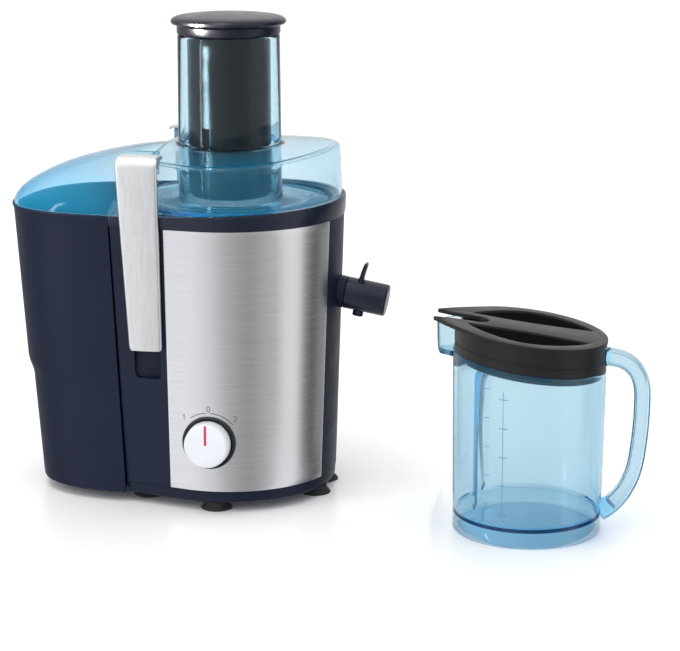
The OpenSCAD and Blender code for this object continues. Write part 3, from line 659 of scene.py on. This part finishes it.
def ribbon(name, points, width, place, mat, lift=0.06, closed=False):
    """A thin printed stroke along 2D points; place maps (x, z, lift) to the surface."""
    count = len(points)
    rings = []
    for i, (x, z) in enumerate(points):
        x0, z0 = points[(i - 1) % count] if closed or i else points[0]
        x1, z1 = points[(i + 1) % count] if closed or i < count - 1 else points[-1]
        d = Vector((x1 - x0, z1 - z0))
        d = d.normalized() if d.length else Vector((1, 0))
        nx, nz = -d.y * width / 2, d.x * width / 2
        rings.append([place(x + nx, z + nz, lift), place(x - nx, z - nz, lift),
                      place(x - nx, z - nz, -0.05), place(x + nx, z + nz, -0.05)])
    return build_round(name, rings, mat) if closed else build(name, *loft(rings), mat)


def glyph(kind, x, z, h):
    """Strokes of the dial's numbers, as lists of points."""
    w = h * 0.55
    if kind == "1":
        return [([(x - w * 0.35, z + h * 0.72), (x, z + h), (x, z)], False)]
    if kind == "2":
        top = arc(x, z + h * 0.72, w * 0.5, 165, -35, 12)
        return [(top + [(x - w * 0.5, z), (x + w * 0.5, z)], False)]
    ellipse = [(x + w * 0.5 * cos(t * pi / 12), z + h / 2 + h / 2 * sin(t * pi / 12))
               for t in range(24)]
    return [(ellipse, True)]


def make_dial():
    strokes = []
    for a0, a1 in ((38, 4), (-4, -52)):
        radius = 24.2
        points = [(radius * sin(radians(-mix(a0, a1, i / 24))),
                   KNOB_Z + radius * cos(radians(mix(a0, a1, i / 24)))) for i in range(25)]
        strokes.append((points, False, 0.55))
    for kind, turned, radius in (("1", 46, 28.0), ("0", 0, 27.2), ("2", -47, 28.4)):
        x = -radius * sin(radians(turned))
        z = KNOB_Z + radius * cos(radians(turned)) - 2
        for points, closed in glyph(kind, x, z, 4.4):
            strokes.append((points, closed, 0.55))
    for i, (points, closed, width) in enumerate(strokes):
        mark = ribbon(f"dial_mark_{i}", points, width, panel_point, PRINT, closed=closed)
        settle(mark, "base", "steel_panel")


def make_knob():
    ring = lathe("knob_bezel", [(3.1, -8.2), (19.1, -8.2), (19.1, -3.6), (20.9, -3.6), (21.3, -3.0), (21.3, 1.6),
                                (20.9, 2.2), (20.2, 2.5), (19.4, 2.2), (18.9, 1.4), (18.8, -1.2), (3.1, -1.3)],
                 BLACK, 128, ON_KNOB, solid=False)
    drum = lathe("limit", [(drum_r(0) + 0.45, 0), (drum_r(120) + 0.45, 120)], BLACK, 256)
    skirt_keep = lathe("core", [(19.15, -20), (19.15, 20)], BLACK, 96, ON_KNOB)
    boolean(drum, [skirt_keep], "DIFFERENCE")
    boolean(ring, [drum], "DIFFERENCE")
    settle(ring, "base", "black_plastic", "knob_ring")
    profile = [(2.9, -0.7), (17.5, -0.7), (17.6, 2.4), (18.1, 2.9), (18.2, 3.4), (17.6, 11.4), (17.2, 12.4),
               (16.4, 13.1), (15.4, 13.4), (8, 13.55), (0.4, 13.6)]
    body = lathe("knob_cap", profile, KNOB, 128, ON_KNOB)
    groove = block("cut", (-1, 1.2, 13.0), (1, 17.3, 15))
    groove.data.transform(Matrix.Scale(MM, 4) @ ON_KNOB @ Matrix.Scale(1 / MM, 4))
    boolean(body, [groove], "DIFFERENCE")
    settle(body, "knob_body", "knob_plastic", "knob")
    line = [(-0.85, 1.3), (0.85, 1.3), (0.85, 17.2), (-0.85, 17.2)]
    rings = [placed(ON_KNOB, at_height(line, z)) for z in (12.9, 13.75)]
    pointer = build("knob_line", *loft(rings), RED)
    settle(bevel(pointer, 0.2, 2), "knob_body", "pointer_red", "knob_pointer")


# ---- latches

def lever_n(z):
    return 88 + 7 * min(1, (z - 130) / 130)


def lever_path():
    """Stations along the lever's outer face: (n, z, tangent angle from +Z towards the drive axis)."""
    path = [(lever_n(z), z, -3.0) for z in (130.4, 131.5, 134, 145, 160, 180, 200, 220, 240, 255)]
    path += [(95.2, 266, 0.0)]
    path += [(95.3 - 8 + 8 * cos(radians(a)), 275.6 + 8 * sin(radians(a)), a)
             for a in (0, 15, 30, 45, 60, 75, 90)]
    path += [(82, 283.7, 91), (77.5, 283.7, 91), (75.2, 283.6, 91)]
    return path


def lever_ring(n, z, lean, half, centre, depth, thick):
    """Cross-section of the channel: a slightly crowned face with rolled sides, as a closed outline."""
    outer = [(-half + 2.2 + 2.2 * sin(radians(a)), -2.2 + 2.2 * cos(radians(a))) for a in range(-90, 1, 15)]
    crown = [(-half + 2.2 + (2 * half - 4.4) * i / 10, 0.35 * sin(pi * i / 10)) for i in range(1, 10)]
    right = [(-x, d) for x, d in reversed(outer)]
    face = outer + crown + right
    within = half - thick
    inner = [(within, -depth)] + [(within * (1 - i / 5), -thick) for i in range(11)] + [(-within, -depth)]
    section = [(-half, -depth)] + face + [(half, -depth)] + inner
    up = (-sin(radians(lean)), cos(radians(lean)))
    out = (up[1], -up[0])
    return [(centre + x, n + d * out[0], z + d * out[1]) for x, d in section]


def make_lever(side):
    """Pressed steel lever: a tapering channel that rolls over into the hook."""
    rings = []
    for i, (n, z, lean) in enumerate(lever_path()):
        t = min(1, max(0, (z - 130) / 154))
        left, right = mix(-63.0, -69.6, t), mix(-36.6, -36.0, t)
        half, centre = (right - left) / 2, (right + left) / 2
        half -= {0: 1.1, 1: 0.25}.get(i, 0)
        deep = 3.2 if z < 262 else 2.8
        rings.append(lever_ring(n, z, lean, half, centre, deep, 1.6))
    rings = [[(x, side * n, z) for x, n, z in ring] for ring in rings]
    name = "front" if side < 0 else "back"
    lever = build(f"{name}_latch_lever", *loft(rings), LATCH, 40)
    settle(lever, f"{name}_lever_body", "latch_steel", f"{name}_lever")
    pin_n, pin_z = 82 - 26 * sin(radians(4)), 192 - 26 * cos(radians(4))
    for tag, x in (("a", -59.8), ("b", -45.7)):
        outline = arc(pin_n, pin_z, 3.6, 90, 270, 12) + [(lever_n(pin_z) - 1.2, pin_z - 3.6),
                                                         (lever_n(pin_z) - 1.2, pin_z + 3.6)]
        cheek_rings = [[(x + dx, side * n, z) for n, z in outline] for dx in (0, 2.5)]
        cheek = build(f"{name}_lever_cheek_{tag}", *loft(cheek_rings), STEEL)
        settle(bevel(cheek, 0.3, 2), f"{name}_lever_body", "latch_steel")


# ---- pulp container

CONTAINER_LEVELS = [(7.3, 157.6, 71.5), (93, 163.2, 76.3), (111, 167.7, 77.4), (RIM_Z, 175, 84)]


def container_size(z):
    """Reach to the far end and half width at a height, with the grip step rounded."""
    for (z0, r0, h0), (z1, r1, h1) in zip(CONTAINER_LEVELS, CONTAINER_LEVELS[1:]):
        if z <= z1:
            t = (z - z0) / (z1 - z0)
            if z0 == 93:
                t = t * t * (3 - 2 * t)
            return mix(r0, r1, t), mix(h0, h1, (z - z0) / (z1 - z0))
    return CONTAINER_LEVELS[-1][1:]


def container_outline(z, inset, flare=0.0):
    reach, half = container_size(z)
    a = 0.42 * reach + 30
    cx = a - reach
    a, half = a - inset + flare, half - inset + flare * 0.4
    seam = -(seam_x(z) + SEAM_GAP + inset)
    start = acos(max(-1, -abs((seam - cx) / a) ** 1.3))
    outer = []
    steps = 72
    for i in range(steps + 1):
        t = mix(start, 2 * pi - start, i / steps)
        outer.append((cx + a * power(cos(t), 2 / 2.6), half * power(sin(t), 2 / 2.6)))
    outer[0] = (seam, outer[0][1])
    outer[-1] = (seam, outer[-1][1])
    big = drum_r(z) + SEAM_GAP + inset
    edge = ear_y(z) - 3 - inset
    hollow = degrees(asin(min(0.99, sqrt(max(0, 1 - (seam / big) ** 2)) * 0.5)))
    inner = [(seam, -edge)] + arc(0, 0, big, 180 + hollow, 180 - hollow, 18) + [(seam, edge)]
    return outer + inner


def make_container():
    outer_levels = [7.8, 9.5, 14, 40, 70, 86, 91, 94, 97, 100, 103, 106, 109, 112, 116, 130, 165, 200, 224, 231]
    rings = [at_height(container_outline(7.3, 2.0), 7.3), at_height(container_outline(7.5, 0.9), 7.5)]
    rings += [at_height(container_outline(z, 0.25 if z < 8 else 0), z) for z in outer_levels]
    rings += [at_height(container_outline(233, 0, 0.5), 233.0), at_height(container_outline(235, 0, 1.1), 235.0),
              at_height(container_outline(RIM_Z, 0.1, 1.1), RIM_Z - 0.15),
              at_height(container_outline(RIM_Z, 0.9, 1.0), RIM_Z), at_height(container_outline(RIM_Z, 1.9), RIM_Z),
              at_height(container_outline(RIM_Z, 2.5), RIM_Z - 0.5)]
    inner_levels = [230, 200, 165, 130, 116, 112, 108, 104, 100, 96, 92, 70, 40, 18]
    rings += [at_height(container_outline(z, 2.6), z) for z in inner_levels]
    rings += [at_height(container_outline(14, 4.5), 12.8), at_height(container_outline(14, 9), 12.3)]
    bin_body = build("pulp_bin", *loft(rings), NAVY, 32)
    boolean(bin_body, [block("slot", (-108.5, -30.5, 0), (-60, 30.5, 9.9), NAVY)], "DIFFERENCE", 32)
    settle(bin_body, "container_body", "navy_plastic", "pulp_container")


# ---- lid with feed tube

def lid_field(x, y, z):
    """Negative inside the lid's outer form, roughly in millimetres."""
    barrel = z - (RIDGE_Z - BARREL * y * y)
    drum = hypot(x, y) - (LID_R - 0.045 * (z - RIM_Z))
    drum = smooth_max(drum, -x - 52, 12)
    behind = max(0.0, -x - 45) / 128.5
    spread = (behind ** 3 + (abs(y) / 82.4) ** 3) ** 0.4
    rise = max(0.0, z - 236) / 47.5
    dome = smooth_max((spread + rise * rise - 1) * 38, x + 12, 8)
    return smooth_max(barrel, smooth_min(drum, dome, 5), 4.5)


def cast(centre, direction, low=20.0, high=260.0):
    """Distance from centre along direction to the lid's surface."""
    for _ in range(34):
        middle = (low + high) / 2
        p = centre + direction * middle
        if lid_field(p.x, p.y, p.z) < 0:
            low = middle
        else:
            high = middle
    return low


def lid_floor(x):
    """Height of the lid's lower edge: on the collar near the drum, on the container's rim behind it."""
    return max(collar_top(x), RIM_Z + 0.4)


def make_lid():
    centre = Vector((-30, 0, 236))
    columns, rows = 216, 90
    edge = []
    for c in range(columns):
        turn = 2 * pi * c / columns
        flat = Vector((cos(turn), sin(turn), 0))
        lift = 0.0
        for _ in range(4):
            d = (flat + Vector((0, 0, tan(lift)))).normalized()
            p = centre + d * cast(centre, d)
            across = (p - centre).to_2d().length
            lift = atan2(lid_floor(p.x) - centre.z, across)
        edge.append((flat, lift))
    rings = [[] for _ in range(rows)]
    for r, ring in enumerate(rings):
        for flat, lift in edge:
            tilt = mix(lift, radians(89.5), (r / rows) ** 1.25)
            d = Vector((flat.x * cos(tilt), flat.y * cos(tilt), sin(tilt)))
            ring.append(tuple(centre + d * cast(centre, d)))
    lid = build("clear_lid", *loft(rings, cap_start=False), CLEAR, 75)
    solid = lid.modifiers.new("solid", "SOLIDIFY")
    solid.thickness = LID_WALL * MM
    solid.offset = -1
    solid.use_even_offset = True
    apply_modifiers(lid)
    tidy_normals(lid, 70)
    tube = [(TUBE_BORE, TUBE_LOW), (41.4, TUBE_LOW), (41.4, 236.7), (62, 236.7), (78.4, 236.7), (79, 237.1),
            (79, 238.2), (78.4, 238.7), (62, 238.7), (44, 238.7), (42.4, 239.4), (41.5, 241), (41.3, 279),
            (41.5, 280.6), (42.4, 281.4), (43.4, 281.6), (43.4, 283.4), (42.3, 283.8), (41.4, 284.6), (41.2, 286),
            (40.6, 367.6), (40.3, 369), (39.6, TUBE_TOP), (38.0, TUBE_TOP), (37.2, 369), (TUBE_BORE, 367.8)]
    chute = lathe("feed", tube, CLEAR, 128, solid=False, angle=50)
    bore = lathe("bore", [(TUBE_BORE + 0.5, 200), (TUBE_BORE + 0.5, 400)], CLEAR, 128)
    boolean(lid, [bore], "DIFFERENCE", 70)
    pads = []
    # On each side, the pad that the latch hooks over and a thin rib inside it.
    for side in (-1, 1):
        for x0, x1, near, far, top, soft in ((-65, -41, 73.5, 78.0, 280.6, 0.7), (-61, -39, 72.6, 74.2, 286.2, 0.5)):
            low, high = sorted((side * near, side * far))
            pads.append(bevel(block("pad", (x0, low, 268), (x1, high, top), CLEAR), soft, 2))
    boolean(lid, [chute] + pads, "UNION", 60)
    settle(lid, "base", "clear_blue", "lid", "feed_tube")


# ---- plunger

def make_plunger():
    profile = [(0.5, 386.45), (12, 386.25), (24, 385.6), (34, 384.7), (40, 383.9), (43.2, 383.0), (45.2, 381.6),
               (45.8, 380.2), (45.6, 378.9), (44.6, 377.9), (42.6, 377.35), (41.6, 377.0), (41.1, 376.4),
               (41.1, 371.2), (40.6, 370.2), (39.6, 369.85), (35.8, 369.8), (34.2, 369.2), (33.6, 368.2), (33.5, 360),
               (33.5, 300), (33.4, 246), (33.0, 243), (31.8, 241), (29.6, 240.2), (26, 240.0), (0.5, 240.0)]
    body = lathe("plunger_body", profile, PLUNGER, 128)
    key = block("cut", (-3.4, -36, 236), (3.4, -31.2, 298), PLUNGER)
    key.data.transform(Matrix.Rotation(radians(-21), 4, "Z"))
    boolean(body, [bevel(key, 0.6, 2)], "DIFFERENCE")
    body.data.materials.append(CAP)
    for face in body.data.polygons:
        face.material_index = int(face.center.z > CAP_LOW * MM)
    settle(body, "plunger_body", "plunger_plastic", "plunger")


# ---- bowl and spout

def make_bowl_and_spout():
    bowl = lathe("bowl_wall", [(10.2, 152), (80.5, 152), (82.0, 152.8), (82.4, 154), (82.5, 225.4), (84.5, 225.8),
                               (87.8, 225.9), (88.0, 226.4), (87.9, 228.2), (82.0, 228.3), (80.8, 227.6), (80.5, 226),
                               (80.4, 158), (78, 155), (22, 154.6), (18.6, 156), (17.9, 160), (17.8, 183), (17.0, 184),
                               (10.8, 184), (10.2, 183)], NAVY, 128, solid=False)
    pipe = lathe("pipe", [(12.9, 2), (12.9, 9.2), (12.5, 9.5), (10.8, 9.5), (10.8, 13.9), (9.6, 14), (9.6, 16.5),
                          (10.8, 16.6), (10.8, 40), (10.4, 40.6), (8.5, 40.6), (8.5, -6), (12.9, -6)],
                 NAVY, 96, ON_SPOUT, solid=False)
    bore = lathe("bore", [(8.5, -12), (8.5, 20)], NAVY, 96, ON_SPOUT)
    outlet = lathe("outlet", [(3.5, 0), (3.5, 20)], NAVY, 48,
                   ON_SPOUT @ Matrix.Translation((0, 0, 22)) @ Matrix.Rotation(radians(90), 4, "Y"))
    boolean(bowl, [bore], "DIFFERENCE")
    boolean(pipe, [outlet], "DIFFERENCE")
    boolean(bowl, [pipe], "UNION")
    settle(bowl, "base", "navy_plastic", "juice_bowl")
    at = ON_SPOUT @ Matrix.Translation((0, 0, 9.9))
    end = 43.7 - 9.9
    sleeve = lathe("sleeve", [(10.86, 0.2), (12.6, 0.0), (12.9, 0.35), (12.9, end - 1.6), (12.6, end - 0.7),
                              (11.8, end - 0.1), (10.9, end), (0.3, end), (0.3, end - 2.4), (10.86, end - 2.4)],
                   NAVY_GLOSS, 128, at, solid=False)
    down = at @ Matrix.Translation((0, 0, 12.1)) @ Matrix.Rotation(radians(90), 4, "Y")
    nozzle = lathe("nozzle", [(4.6, 11.2), (4.35, 12.6), (4.35, 16.5), (4.1, 16.9), (3.1, 16.9), (3.0, 16.5),
                              (3.0, 11.2)], NAVY_GLOSS, 64, down, solid=False)
    hole = lathe("hole", [(3.0, 5), (3.0, 16)], NAVY, 48, down)
    fin_rings = []
    turns = [2 * pi * k / 24 for k in range(24)]
    # Thumb fin, from its root up: height, half thickness, half width, lean.
    for h, thick, wide, shift in ((10.5, 2.6, 7.0, -0.6), (13.5, 2.15, 6.4, -0.3), (16, 1.9, 6.0, 0.0),
                                  (20, 1.8, 5.9, 0.5), (23, 1.75, 5.8, 1.0), (25, 1.65, 5.4, 1.3),
                                  (26.3, 1.35, 4.8, 1.5), (27, 0.7, 3.8, 1.6)):
        fin_rings.append(placed(at, ((-h, wide * power(sin(t), 0.55), 10.6 + shift + thick * power(cos(t), 0.7))
                                     for t in turns)))
    fin = build("fin", *loft(fin_rings), NAVY_GLOSS, 50)
    boolean(sleeve, [hole], "DIFFERENCE")
    boolean(sleeve, [nozzle, fin], "UNION")
    settle(sleeve, "drip_stop_body", "navy_plastic", "drip_stop")


# ---- sieve

def make_sieve():
    """Conical sieve with real holes: each cell is a square pierced by an octagon."""
    around, rows, r0, z0, r1, z1 = 132, 16, 52.0, 200.6, 76.8, 229.8
    verts, faces = [], []
    for r in range(rows):
        for c in range(around):
            shift = 0.5 * (r % 2)
            base = len(verts)
            for u, v in ((0, 0), (0.5, 0), (1, 0), (1, 0.5), (1, 1), (0.5, 1), (0, 1), (0, 0.5)):
                verts.append((c + u + shift, r + v))
            for k in range(8):
                a = radians(-135 + 45 * k)
                verts.append((c + 0.5 + 0.3 * cos(a) + shift, r + 0.5 + 0.3 * sin(a)))
            for k in range(8):
                n = (k + 1) % 8
                faces.append((base + k, base + n, base + 8 + n, base + 8 + k))
    def place(c, r):
        t = 2 * pi * c / around
        radius, z = mix(r0, r1, r / rows), mix(z0, z1, r / rows)
        return (radius * cos(t), radius * sin(t), z)
    sieve = build("sieve_cone", [place(*v) for v in verts], faces, SIEVE)
    solid = sieve.modifiers.new("solid", "SOLIDIFY")
    solid.thickness = 0.4 * MM
    apply_modifiers(sieve)
    settle(sieve, "rotor", "sieve_steel", "filter_mesh")


# ---- jug

def on_jug(points):
    return placed(ON_JUG, points)


def jug_rim(x):
    return JUG_RIM - JUG_SLOPE * x


def make_jug():
    steps = 144
    turns = [2 * pi * i / steps for i in range(steps)]
    rings = lathe_rings([(0.6, 12.0), (55.0, 12.0), (55.0, 0.6), (55.5, 0.0), (57.0, 0.0), (57.4, 0.5), (57.4, 12.0),
                         (57.3, 13.6), (57.5, JUG_STEP)], steps)
    # Wall up to the slanted rim and down again: share of the height, radius, offset.
    for level, r, drop in ((0.3, 57.8, 0), (0.6, 58.2, 0), (0.9, 58.55, 0), (1, 58.6, -2), (1, 58.65, -0.6),
                           (1, 58.2, 0), (1, 56.9, 0), (1, 56.4, -0.6), (0.9, 56.2, 0), (0.6, 55.8, 0),
                           (0.3, 55.4, 0)):
        rings.append([(r * cos(t), r * sin(t), mix(JUG_STEP, jug_rim(r * cos(t)), level) + drop)
                      for t in turns])
    rings += lathe_rings([(54.9, 17.0), (52.5, 14.6), (30, 14.4), (1, 14.4)], steps)
    jug = build("jug_cup", *loft([on_jug(ring) for ring in rings]), JUG_CLEAR, 40)
    trough_out = [(-54, -16.5), (-58, -15), (-66, -9), (-70, -6.2), (-71, -4.2), (-71, 4.2), (-70, 6.2), (-66, 9),
                  (-58, 15), (-54, 16.5)]
    trough_in = [(-54, -14.3), (-58, -12.6), (-65, -7.2), (-68.3, -4.8), (-68.8, -3.4), (-68.8, 3.4), (-68.3, 4.8),
                 (-65, 7.2), (-58, 12.6), (-54, 14.3)]
    outer_rings = []
    for z, pull in ((136.5, 0.86), (139, 0.93), (143, 0.97), (162, 1.0)):
        outer_rings.append(on_jug((mix(-56, x, pull if x < -56 else 1), y * pull, z) for x, y in trough_out))
    trough = build("trough", *loft(outer_rings), JUG_CLEAR, 40)
    inner_rings = [on_jug((mix(-52, x, s), y, z) for x, y in trough_in) for z, s in ((141, 0.96), (165, 1.0))]
    hollow = build("hollow", *loft(inner_rings), JUG_CLEAR, 40)
    boolean(trough, [hollow], "DIFFERENCE", 40)
    core = lathe("core", [(56.1, 100), (56.1, 200)], JUG_CLEAR, 144, ON_JUG)
    boolean(trough, [core], "DIFFERENCE", 40)
    handle, hollow = make_handle()
    boolean(jug, [trough, handle], "UNION", 40)
    add_void(jug, hollow)
    settle(jug, "jug", "clear_blue", "jug_body", "jug_handle", "jug_spout")
    jx, jy = JUG_AT
    plate = block("separator_plate", (jx - 36.8, jy - 41, 24), (jx - 35.2, jy + 41, 130), PALE_CLEAR)
    window = block("cut", (jx - 40, jy - 8, 20), (jx - 30, jy + 8, 30), JUG_CLEAR)
    boolean(plate, [window], "DIFFERENCE")
    settle(bevel(plate, 0.4, 2), "jug", "clear_blue", "foam_separator")


def bezier(points, steps):
    """Points along a chain of cubic curves: end, handle, handle, end, handle, handle, end, ..."""
    out = []
    for k in range(0, len(points) - 1, 3):
        p0, p1, p2, p3 = [Vector(p) for p in points[k:k + 4]]
        for i in range(steps):
            t = i / steps
            out.append(p0 * (1 - t) ** 3 + p1 * 3 * t * (1 - t) ** 2 + p2 * 3 * t * t * (1 - t) + p3 * t ** 3)
    out.append(Vector(points[-1]))
    return out


def handle_sweep(path, shrink, first, last):
    """A rounded bar along the handle's path, in the jug's XZ plane."""
    rings = []
    count = len(path) - 1
    for i in range(first, last + 1):
        p = path[i]
        d = (path[min(count, i + 1)] - path[max(0, i - 1)]).normalized()
        out = Vector((-d.y, d.x))
        flare = 1 + 0.2 * max(0, 1 - i / 4) + 0.15 * max(0, 1 - (count - i) / 6)
        ring = []
        for k in range(28):
            t = 2 * pi * k / 28
            w = (6.4 * flare - shrink) * power(cos(t), 0.6)
            y = (7.6 - shrink) * power(sin(t), 0.6)
            ring.append((p.x + out.x * w, y, p.y + out.y * w))
        rings.append(on_jug(ring))
    return build("handle", *loft(rings), JUG_CLEAR, 50)


def make_handle():
    path = bezier([(57, 138.5), (61, 138.5), (66, 138), (69, 137), (80, 134), (86, 124), (86.4, 110), (86.7, 96),
                   (86, 80), (84, 64), (82, 46), (76, 27), (56.5, 15)], 12)
    handle = handle_sweep(path, 0, 0, len(path) - 1)
    core = lathe("core", [(56.2, 0), (56.2, 220)], JUG_CLEAR, 144, ON_JUG)
    boolean(handle, [core], "DIFFERENCE", 50)
    return handle, handle_sweep(path, 1.8, 4, len(path) - 3)


def add_void(obj, void):
    """Hollows obj with a sealed inner space: the void's shell joins it facing inwards."""
    void.data.flip_normals()
    mesh = bmesh.new()
    mesh.from_mesh(obj.data)
    mesh.from_mesh(void.data)
    mesh.to_mesh(obj.data)
    mesh.free()
    bpy.data.objects.remove(void)


def lid_outline():
    """Pointed oval with two prongs and a round-ended notch between them."""
    r = JUG_R + 0.6
    tip = (-72.5, 14.0)
    reach = hypot(*tip)
    lean = degrees(acos(r / reach))
    at = degrees(atan2(tip[1], tip[0]))
    touch = at - lean
    upper = [(-72.8, 13.6), (-72.6, 12.4), (-71.5, 11.6), (-60, 8.6), (-48, 8.2)]
    notch = arc(-40, 0, 8.2, 110, 0, 8)
    half = arc(0, 0, r, 0, touch, 60) + [(mix(r * cos(radians(touch)), tip[0], t),
                                          mix(r * sin(radians(touch)), tip[1], t)
                                          + 1.6 * sin(pi * t)) for t in (0.25, 0.5, 0.75)]
    half += [(-71.6, 14.4)] + upper + notch
    return half + [(x, -y) for x, y in reversed(half[1:-1])]


def jug_plane(points, lift):
    return on_jug((x, y, jug_rim(x) + lift) for x, y in points)


def lens(sign):
    """Outline of a lens-shaped pocket in the jug's lid."""
    top, low = [], []
    for i in range(25):
        t = i / 24
        x = mix(-46, 47, t)
        bow = sin(pi * t)
        low.append((x, sign * (mix(17, 19, t) + 31 * bow ** 0.8)))
        top.append((x, sign * (mix(17, 19, t) - 3.5 * bow)))
    outline = top + low[::-1][1:-1]
    return outline if sign > 0 else outline[::-1]


def make_jug_lid():
    outline = lid_outline()
    plate = build("jug_lid_plate", *loft([jug_plane(outline, 20), jug_plane(outline, 23)]), CHARCOAL, 35)
    for sign in (-1, 1):
        pocket = [jug_plane(lens(sign), POCKET_FLOOR), jug_plane(lens(sign), 26)]
        boolean(plate, [build("pocket", *loft(pocket), CHARCOAL)], "DIFFERENCE")
    bevel(plate, 0.55, 3, 35)
    skirt_profile = [(58.7, 20.2), (58.7, 8.2), (58.3, 7.9), (58.3, 7.3), (58.7, 7.0), (58.8, 0.8), (58.4, 0.35),
                     (56.6, 0.35), (55.6, 0.2), (55.5, -5.6), (55.0, -6), (53.0, -6), (52.7, -5.5), (52.7, 20.2)]
    turns = [2 * pi * i / 144 for i in range(144)]
    rings = [jug_plane([(r * cos(t), r * sin(t)) for t in turns], z) for r, z in skirt_profile]
    skirt = build_round("jug_lid_skirt", rings, CHARCOAL)
    jx, jy = JUG_AT
    gap = block("gap", (jx - 100, jy - 18.5, 100), (jx - 40, jy + 18.5, 163.2), CHARCOAL)
    gap_in = block("gap", (jx + 48, jy - 9, 100), (jx + 70, jy + 9, 146), CHARCOAL)
    boolean(skirt, [gap, gap_in], "DIFFERENCE")
    boolean(plate, [skirt], "UNION", 35)
    # Painted shade: faces on the pocket floors take the darker, non-reflecting material.
    plate.data.materials.append(POCKET_SHADE)
    for face in plate.data.polygons:
        x, y, z = face.center / MM
        lift = z - jug_rim(x - JUG_AT[0])
        on_floor = abs(lift - POCKET_FLOOR) < 0.75 and face.normal.z > 0.9
        face.material_index = int(on_floor and abs(y - JUG_AT[1]) > 9)
    settle(plate, "jug_lid_body", "charcoal_plastic", "jug_lid")


def make_jug_scale():
    """Plain scale lines on the jug's near side."""
    def on_wall(x, z, lift):
        r = mix(57.4, 58.6, z / 135) + lift
        t = radians(-104) + x / 58
        return tuple(ON_JUG @ Vector((r * cos(t), r * sin(t), z)))
    marks = [ribbon("line", [(0, 20), (0, 70), (0, 122)], 0.45, on_wall, SCALE_PRINT, lift=0.05)]
    for k in range(5):
        z = 26 + 22.5 * k
        for row, width in (([(-3.5, z), (0, z), (3.5, z)], 0.5), ([(x, z + 7) for x in (-16, -13, -10.5)], 0.45)):
            marks.append(ribbon("tick", row, width, on_wall, SCALE_PRINT, lift=0.06))
    for i, mark in enumerate(marks):
        mark.name = f"jug_scale_{i}"
        settle(mark, "jug", "clear_blue")


make_housing()
make_base_band()
make_collar()
make_feet()
make_panel()
make_dial()
make_knob()
for latch_side in (-1, 1):
    make_lever(latch_side)
make_container()
make_lid()
make_plunger()
make_bowl_and_spout()
make_sieve()
make_jug()
make_jug_lid()
make_jug_scale()

streak = soft_light("streak_card", (-1.1, -0.85, 0.5), (0, 0, 0.3), (0.22, 1.2), 1000)
lit = bpy.data.collections.new("lit_by_streak")
lit.objects.link(bpy.data.objects["plunger_body"])
streak.light_linking.receiver_collection = lit
streak.visible_diffuse = False
